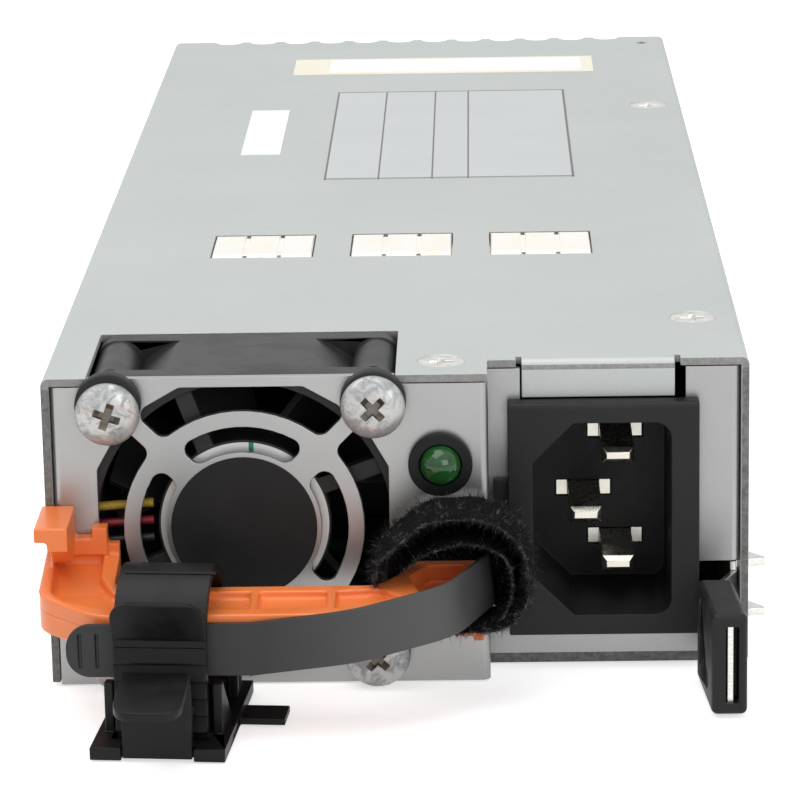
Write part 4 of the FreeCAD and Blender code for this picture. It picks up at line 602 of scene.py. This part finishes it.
def fan_screws():
    """Domed screw heads with a worn Phillips recess, each turned its own way."""
    low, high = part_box("fan_screws")
    radius = 3.9 * MM
    dome = 1.6 * MM
    corners = [(x, z) for z in (low.z + radius, high.z - radius) for x in (low.x + radius, high.x - radius)]
    heads = []
    for (x, z), turn, drop in zip(corners, (10, 42, 20, 46), (0, 0, 0.9, 0.4)):
        z -= drop * MM
        shape = [(0, 0), (0.25, 0.01), (0.5, 0.07), (0.72, 0.22), (0.86, 0.42), (0.96, 0.68), (1.0, 0.9), (1.0, 1.0)]
        profile = [(radius * r, dome * y) for r, y in shape] + [(0, dome)]
        head = turned(profile, (x, low.y, z))
        arms = []
        for quarter in (0, 90):
            arm = block((-2.1 * MM, -0.3 * MM, -0.46 * MM), (2.1 * MM, 0.9 * MM, 0.46 * MM))
            for vertex in arm.data.vertices:
                if vertex.co.y > 0:
                    vertex.co.x *= 0.45
            arm.rotation_euler = (0, math.radians(turn + quarter), 0)
            arm.location = (x, low.y, z)
            arms.append(settle(arm))
        cut(head, [arms[0]])
        cut(head, [arms[1]])
        bevel(head, 0.06 * MM, 2, 40)
        head.data.materials.append(ZINC)
        head.data.materials.append(RECESS_SHADE)
        # Faces inside the recess take the dark recess finish: painted shade.
        for face in head.data.polygons:
            away = math.hypot(face.center.x - x, face.center.z - z)
            if away < 2.1 * MM and face.center.y > low.y + 0.2 * MM:
                face.material_index = 1
        shank = turned([(0, dome - 0.2 * MM), (1.7 * MM, dome - 0.2 * MM), (1.7 * MM, high.y - low.y), (0, high.y - low.y)],
                       (x, low.y, z), 24)
        shank.data.materials.append(ZINC)
        smooth(shank)
        heads += [head, shank]
    piece = join("fan_screw_set", heads)
    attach(piece, BODY_OF["fan_screws"])
    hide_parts("fan_screws")


def band():
    """The soft band, with two grip grooves across its round tip."""
    piece = cad_copy("handle_band", "band_shape")
    low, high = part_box("handle_band")
    grooves = []
    for across in (5.6, 7.6):
        x = LEFT + across * MM
        grooves.append(block((x, low.y - 1 * MM, low.z + 1.2 * MM), (x + 0.35 * MM, low.y + 0.28 * MM, low.z + 5.4 * MM)))
    cut(piece, grooves)
    bevel(piece, 0.12 * MM, 2, 30)
    dress(piece, BAND, "handle_band")


def round_path(points, radii, closed=False, step=0.35):
    """Sample an XZ polyline in mm with rounded corners."""
    spots = [Vector(point) for point in points]
    samples = []
    count = len(spots)
    for i, spot in enumerate(spots):
        if not closed and i in (0, count - 1):
            samples.append(spot)
            continue
        before = (spots[i - 1] - spot).normalized()
        after = (spots[(i + 1) % count] - spot).normalized()
        half = before.angle(after) / 2
        back = radii[i] / math.tan(half)
        start, end = spot + before * back, spot + after * back
        centre = spot + (before + after).normalized() * (radii[i] / math.sin(half))
        pieces = max(4, int(radii[i] * (math.pi - 2 * half) / step))
        for k in range(pieces + 1):
            arm = (start - centre).normalized().slerp((end - centre).normalized(), k / pieces)
            samples.append(centre + arm * radii[i])
    dense = []
    total = len(samples)
    for i in range(total if closed else total - 1):
        first, second = samples[i], samples[(i + 1) % total]
        pieces = max(1, int((second - first).length / step))
        dense += [first.lerp(second, k / pieces) for k in range(pieces)]
    if not closed:
        dense.append(samples[-1])
    return dense


def felt(name, path, y_low, y_high, thick, closed, seed):
    """A limp strip of felt along a path in XZ, thick towards the path's right side, with uneven rims."""
    rows = 9
    mesh = bmesh.new()
    count = len(path)
    outer, inner = [], []
    for i, spot in enumerate(path):
        ahead = path[(i + 1) % count] if closed or i + 1 < count else spot
        behind = path[i - 1] if closed or i > 0 else spot
        along = (ahead - behind).normalized()
        inward = Vector((-along.y, along.x))
        outside, inside = [], []
        for row in range(rows + 1):
            rim = row / rows * 2 - 1
            wave = noise.noise(Vector((spot.x * 0.5, spot.y * 0.5, row * 0.4 + seed)))
            ragged = noise.noise(Vector((spot.x * 1.7, spot.y * 1.7, seed + 9)))
            y = y_low + (y_high - y_low) * row / rows + 0.18 * ragged * rim
            edge = 0.3 * abs(rim) ** 6
            place = spot + inward * (0.10 + 0.14 * wave + edge)
            deep = spot + inward * (thick - 0.05 + 0.12 * wave - edge)
            outside.append(mesh.verts.new((place.x * MM, y * MM, place.y * MM)))
            inside.append(mesh.verts.new((deep.x * MM, y * MM, deep.y * MM)))
        outer.append(outside)
        inner.append(inside)
    for i in range(count if closed else count - 1):
        j = (i + 1) % count
        for row in range(rows):
            mesh.faces.new((outer[i][row], outer[j][row], outer[j][row + 1], outer[i][row + 1]))
            mesh.faces.new((inner[i][row], inner[i][row + 1], inner[j][row + 1], inner[j][row]))
        mesh.faces.new((outer[i][0], inner[i][0], inner[j][0], outer[j][0]))
        mesh.faces.new((outer[i][-1], outer[j][-1], inner[j][-1], inner[i][-1]))
    if not closed:
        for i in (0, -1):
            for row in range(rows):
                mesh.faces.new((outer[i][row], outer[i][row + 1], inner[i][row + 1], inner[i][row]))
    piece = from_bmesh(mesh, name)
    return smooth(piece, 60)


def fuzz(name, spots, seed, reach=(0.35, 1.15)):
    """Fine curled fibres that stand on (place, normal) spots in metres."""
    rng = random.Random(seed)
    mesh = bmesh.new()
    for place, normal in spots:
        wild = Vector([rng.uniform(-1, 1) for _ in range(3)])
        way = (normal + wild * 0.9).normalized()
        curl = Vector([rng.uniform(-1, 1) for _ in range(3)])
        long = rng.uniform(*reach) * MM
        thin = rng.uniform(0.02, 0.042) * MM
        side = way.orthogonal().normalized()
        across = way.cross(side)
        rings = []
        for k in range(4):
            part = k / 3
            centre = place + way * long * part + curl * long * 0.9 * part * part
            size = thin * (1 - 0.75 * part)
            ring = []
            for turn in range(3):
                angle = turn * 2 * math.pi / 3
                ring.append(mesh.verts.new(centre + (side * math.cos(angle) + across * math.sin(angle)) * size))
            rings.append(ring)
        for near, far in zip(rings, rings[1:]):
            for turn in range(3):
                after = (turn + 1) % 3
                mesh.faces.new((near[turn], near[after], far[after], far[turn]))
        mesh.faces.new(rings[-1])
        mesh.faces.new(list(reversed(rings[0])))
    return from_bmesh(mesh, name)


def sprinkle(piece, count, seed, rim=False):
    """Random spots on a felt strip: all over it, or only along its front rim."""
    rng = random.Random(seed)
    faces = [(face.center.copy(), face.normal.copy(), face.area) for face in piece.data.polygons]
    if rim:
        edge = min(centre.y for centre, _, _ in faces) + 0.55 * MM
        faces = [face for face in faces if face[0].y < edge]
    spots = []
    for _ in range(count):
        centre, normal, area = rng.choice(faces)
        spread = math.sqrt(area) * 0.5
        shift = Vector([rng.uniform(-1, 1) for _ in range(3)]) * spread
        shift -= normal * shift.dot(normal)
        spots.append((centre + shift, normal))
    return spots


# Outline of the dark felt sheet inside the strap's turn, in mm: a sheet put there as painted shade.
SHADE_FELT_OUTLINE = [(52.4, 16.3), (43.1, 16.3), (43.1, 11.6), (41.6, 11.6), (41.6, 17.4), (42.4, 18.8), (45.6, 21.4)]
SHADE_FELT_OUTLINE += [(48.5, 22.6), (52.4, 22.9), (56.2, 21.2), (58.0, 17.8), (57.8, 13.0), (56.4, 10.6), (52.4, 10.6)]


def fill_shade_sheet(corners):
    """A flat dark felt sheet that fills the strap's turn just in front of the case: painted shade inside the turn."""
    left = LEFT / MM
    mesh = bmesh.new()
    path = round_path([(left + x, z) for x, z in reversed(corners)], [0.4] * len(corners), closed=True)
    walls = []
    for y in (-2.6, -2.2):
        walls.append([mesh.verts.new((x * MM, FRONT + y * MM, z * MM)) for x, z in path])
    mesh.faces.new(walls[0])
    mesh.faces.new(walls[1])
    for i in range(len(path)):
        j = (i + 1) % len(path)
        mesh.faces.new((walls[0][i], walls[0][j], walls[1][j], walls[1][i]))
    return smooth(from_bmesh(mesh, "strap_shade_felt"), 40)


def strap():
    """The hook-and-loop strap: two limp turns of fuzzy tape round the handle's end."""
    low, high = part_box("hook_loop_strap")
    west, east, under, top = (value / MM for value in (low.x, high.x, low.z, high.z))
    west, east, under, top = west - 0.7, east + 1.2, under + 0.4, top + 0.5
    corners = [(west, under), (east, under), (east, top), (west + 6.6, top), (west, top - 5.6)]
    outline = round_path(corners, (4.2, 5.8, 7.6, 6.5, 5.6), closed=True, step=0.3)
    y_low, y_high = low.y / MM, high.y / MM
    first = felt("strap_outer", outline, y_low + 0.1, y_high, 0.85, True, 3.0)
    left = LEFT / MM
    inner = [(43.2, 17.4), (44.8, 19.0), (47.5, 20.4), (50.7, 21.1), (53.5, 20.8), (55.7, 19.6)]
    inner += [(56.9, 17.8), (57.1, 15.6), (56.8, 13.2), (55.9, 11.5), (55.0, 10.6)]
    inner = [(left + x, z) for x, z in reversed(inner)]
    path = round_path(inner, [0.8] * len(inner))
    second = felt("strap_inner", path, y_low + 1.2, y_high - 0.4, 0.6, False, 8.0)
    # A dark felt sheet fills the turn as painted shade.
    shade_felt = fill_shade_sheet(SHADE_FELT_OUTLINE)
    passage = block(
        ((west - 1) * MM, (y_low - 1) * MM, 10.7 * MM),
        (LEFT + 46.6 * MM, FRONT - 8.6 * MM, 15.9 * MM),
    )
    wedge = block(
        ((west - 1) * MM, FRONT - 8.7 * MM, 10.7 * MM),
        (LEFT + 42.6 * MM, FRONT - 4.6 * MM, 15.9 * MM),
    )
    cut(first, [passage])
    cut(first, [wedge])
    smooth(first, 60)
    hairs = fuzz("strap_fuzz", sprinkle(first, 8200, 11) + sprinkle(second, 800, 12), 21, (0.35, 1.15))
    lint = fuzz("strap_rim_lint", sprinkle(first, 2600, 14, True) + sprinkle(second, 1900, 15, True), 22, (0.08, 0.34))
    smooth(hairs, 80)
    smooth(lint, 80)
    dress(first, STRAP, "hook_loop_strap")
    for piece, material in ((second, STRAP), (shade_felt, STRAP), (hairs, FIBRE), (lint, PALE_FIBRE)):
        piece.data.materials.append(material)
        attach(piece, BODY_OF["hook_loop_strap"])


def grip():
    """The handle with every edge softened, as it leaves its mould."""
    piece = cad_copy("handle", "handle_shape")
    cells = piece.modifiers.new("cells", "REMESH")
    cells.mode = "VOXEL"
    cells.voxel_size = 0.2 * MM
    soften = piece.modifiers.new("soften", "SMOOTH")
    soften.factor = 0.5
    soften.iterations = 5
    fewer = piece.modifiers.new("fewer", "DECIMATE")
    fewer.ratio = 0.3
    apply_all(piece)
    smooth(piece, 60)
    dress(piece, ORANGE, "handle")


def tab():
    """The latch's thumb tab: rounded, open at its front for the leaf, with three dimples on its inner side."""
    low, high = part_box("latch_tab")
    wide = 4.3 * MM
    piece = block(low, high)
    for vertex in piece.data.vertices:
        rear = vertex.co.y > (low.y + high.y) / 2
        if vertex.co.x < (low.x + high.x) / 2:
            vertex.co.x = low.x if rear else high.x - wide
        else:
            vertex.co.x = low.x + wide if rear else high.x
    piece.name = "latch_tab_shape"
    bevel(piece, 0.75 * MM, 5, 30)
    middle = high.x - wide / 2
    centre = (low.z + high.z) / 2
    slot = block((middle - 0.5 * MM, low.y - 1 * MM, centre - 4.8 * MM), (middle + 1.1 * MM, low.y + 2.6 * MM, centre + 4.8 * MM))
    cut(piece, [bevel(slot, 0.2 * MM, 2, 30)])
    lean = math.atan2(high.x - wide - low.x, high.y - low.y)
    for along, up in ((0.25, 10.0), (0.36, 4.6), (0.66, 3.0)):
        y = high.y - (high.y - low.y) * along
        x = low.x + (high.x - wide - low.x) * along
        put_down()
        bpy.ops.mesh.primitive_uv_sphere_add(segments=32, ring_count=16, radius=1.5 * MM)
        ball = bpy.context.object
        ball.scale = (0.25, 0.8, 0.8)
        ball.rotation_euler = (0, 0, lean)
        ball.location = (x, y, low.z + up * MM)
        cut(piece, [settle(ball)])
    smooth(piece, 40)
    dress(piece, INLET_BLACK, "latch_tab")


def ribbon_ridge():
    """A fine moulded rib across the ribbon's crest."""
    low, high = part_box("clamp_loop")
    turn = math.radians(4.8)
    centre = Vector(((low.x + high.x) / 2, FRONT - 15.06 * MM, 0))
    rib = block((-5.4 * MM, -0.3 * MM, -0.14 * MM), (5.4 * MM, 0.3 * MM, 0.14 * MM))
    bevel(rib, 0.1 * MM, 2, 30)
    tilt = math.radians(-14)
    lean = Matrix.Translation(centre) @ Matrix.Rotation(-turn, 4, "Z")
    place = Matrix.Translation((0, 0.1 * MM + 8.28 * MM * math.sin(tilt), 11.75 * MM + 8.28 * MM * math.cos(tilt)))
    rib.matrix_world = lean @ place @ Matrix.Rotation(-tilt, 4, "X")
    settle(rib, "ribbon_ridge")
    rib.data.materials.append(NYLON)
    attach(rib, BODY_OF["clamp_loop"])


def clip_bridges():
    """The webs that join each contact strip's three fingers, and leave small notches at their ends."""
    low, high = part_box("emi_clips")
    webs = []
    middle = (low.y + high.y) / 2
    for step in (-1, 0, 1):
        x = (low.x + high.x) / 2 + step * 19 * MM
        web = block((x - 6.7 * MM, middle - 5.0 * MM, TOP - 1.1 * MM), (x + 6.7 * MM, middle + 5.0 * MM, TOP - 0.06 * MM))
        webs.append(bevel(web, 0.1 * MM))
    piece = join("clip_bridges", webs)
    piece.data.materials.append(SPRING)
    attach(piece, BODY_OF["emi_clips"])


fan_screws()
band()
strap()
grip()
tab()
ribbon_ridge()
clip_bridges()


# ---------------------------------------------------------------- camera, lamps and backdrop
def studio():
    scene = bpy.context.scene
    scene.view_settings.view_transform = "Standard"
    eye = Vector((LEFT + 53.36 * MM, FRONT - 456.9 * MM, 161.55 * MM))
    yaw, pitch, roll = (math.radians(angle) for angle in (1.243, 15.378, -1.054))
    turn = Matrix.Rotation(yaw, 4, "Z") @ Matrix.Rotation(math.pi / 2 - pitch, 4, "X") @ Matrix.Rotation(roll, 4, "Z")
    lens = bpy.data.cameras.new("camera")
    lens.lens = 176.8
    lens.sensor_width = 36.0
    lens.clip_start = 0.01
    camera = bpy.data.objects.new("camera", lens)
    camera.matrix_world = Matrix.Translation(eye) @ turn
    scene.collection.objects.link(camera)
    scene.camera = camera

    world = bpy.data.worlds.new("studio")
    world.use_nodes = True
    tree = world.node_tree
    path = tree.nodes.new("ShaderNodeLightPath")
    seen = tree.nodes.new("ShaderNodeMath")
    seen.operation = "MAXIMUM"
    tree.links.new(path.outputs["Is Camera Ray"], seen.inputs[0])
    glossy = tree.nodes.new("ShaderNodeMath")
    glossy.operation = "MAXIMUM"
    tree.links.new(path.outputs["Is Glossy Ray"], glossy.inputs[0])
    tree.links.new(path.outputs["Is Transmission Ray"], glossy.inputs[1])
    tree.links.new(glossy.outputs[0], seen.inputs[1])
    strength = tree.nodes.new("ShaderNodeMapRange")
    strength.inputs["To Min"].default_value = 0.62
    strength.inputs["To Max"].default_value = 1.0
    tree.links.new(seen.outputs[0], strength.inputs["Value"])
    background = tree.nodes["Background"]
    background.inputs["Color"].default_value = (1.0, 1.0, 1.0, 1.0)
    tree.links.new(strength.outputs["Result"], background.inputs["Strength"])
    scene.world = world

    def soft_box(name, at, toward, size, power):
        light = bpy.data.lights.new(name, "AREA")
        light.shape = "RECTANGLE"
        light.size, light.size_y = size
        light.energy = power
        lamp = bpy.data.objects.new(name, light)
        lamp.location = at
        lamp.rotation_euler = (Vector(toward) - Vector(at)).to_track_quat("-Z", "Y").to_euler()
        scene.collection.objects.link(lamp)

    soft_box("overhead_box", (-0.25, -0.15, 0.9), (0, 0, 0), (0.9, 0.9), 5.5)
    soft_box("front_box", (0.45, -0.9, 0.45), (0, -0.1, 0.02), (0.6, 0.5), 2.6)

    put_down()
    bpy.ops.mesh.primitive_plane_add(size=8.0, location=(0, 0, -0.0002))
    floor = bpy.context.object
    floor.name = "floor"
    sheet = bpy.data.materials.new("floor_white")
    sheet.use_nodes = True
    tree = sheet.node_tree
    shader = tree.nodes["Principled BSDF"]
    shader.inputs["Base Color"].default_value = (0.75, 0.75, 0.75, 1)
    shader.inputs["Roughness"].default_value = 0.9
    shader.inputs["Specular IOR Level"].default_value = 0.1
    shader.inputs["Emission Color"].default_value = (1, 1, 1, 1)
    path = tree.nodes.new("ShaderNodeLightPath")
    glow = tree.nodes.new("ShaderNodeMath")
    glow.operation = "MAXIMUM"
    tree.links.new(path.outputs["Is Camera Ray"], glow.inputs[0])
    tree.links.new(path.outputs["Is Glossy Ray"], glow.inputs[1])
    level = tree.nodes.new("ShaderNodeMath")
    level.operation = "MULTIPLY"
    tree.links.new(glow.outputs[0], level.inputs[0])
    level.inputs[1].default_value = 0.6
    tree.links.new(level.outputs[0], shader.inputs["Emission Strength"])
    floor.data.materials.append(sheet)


studio()
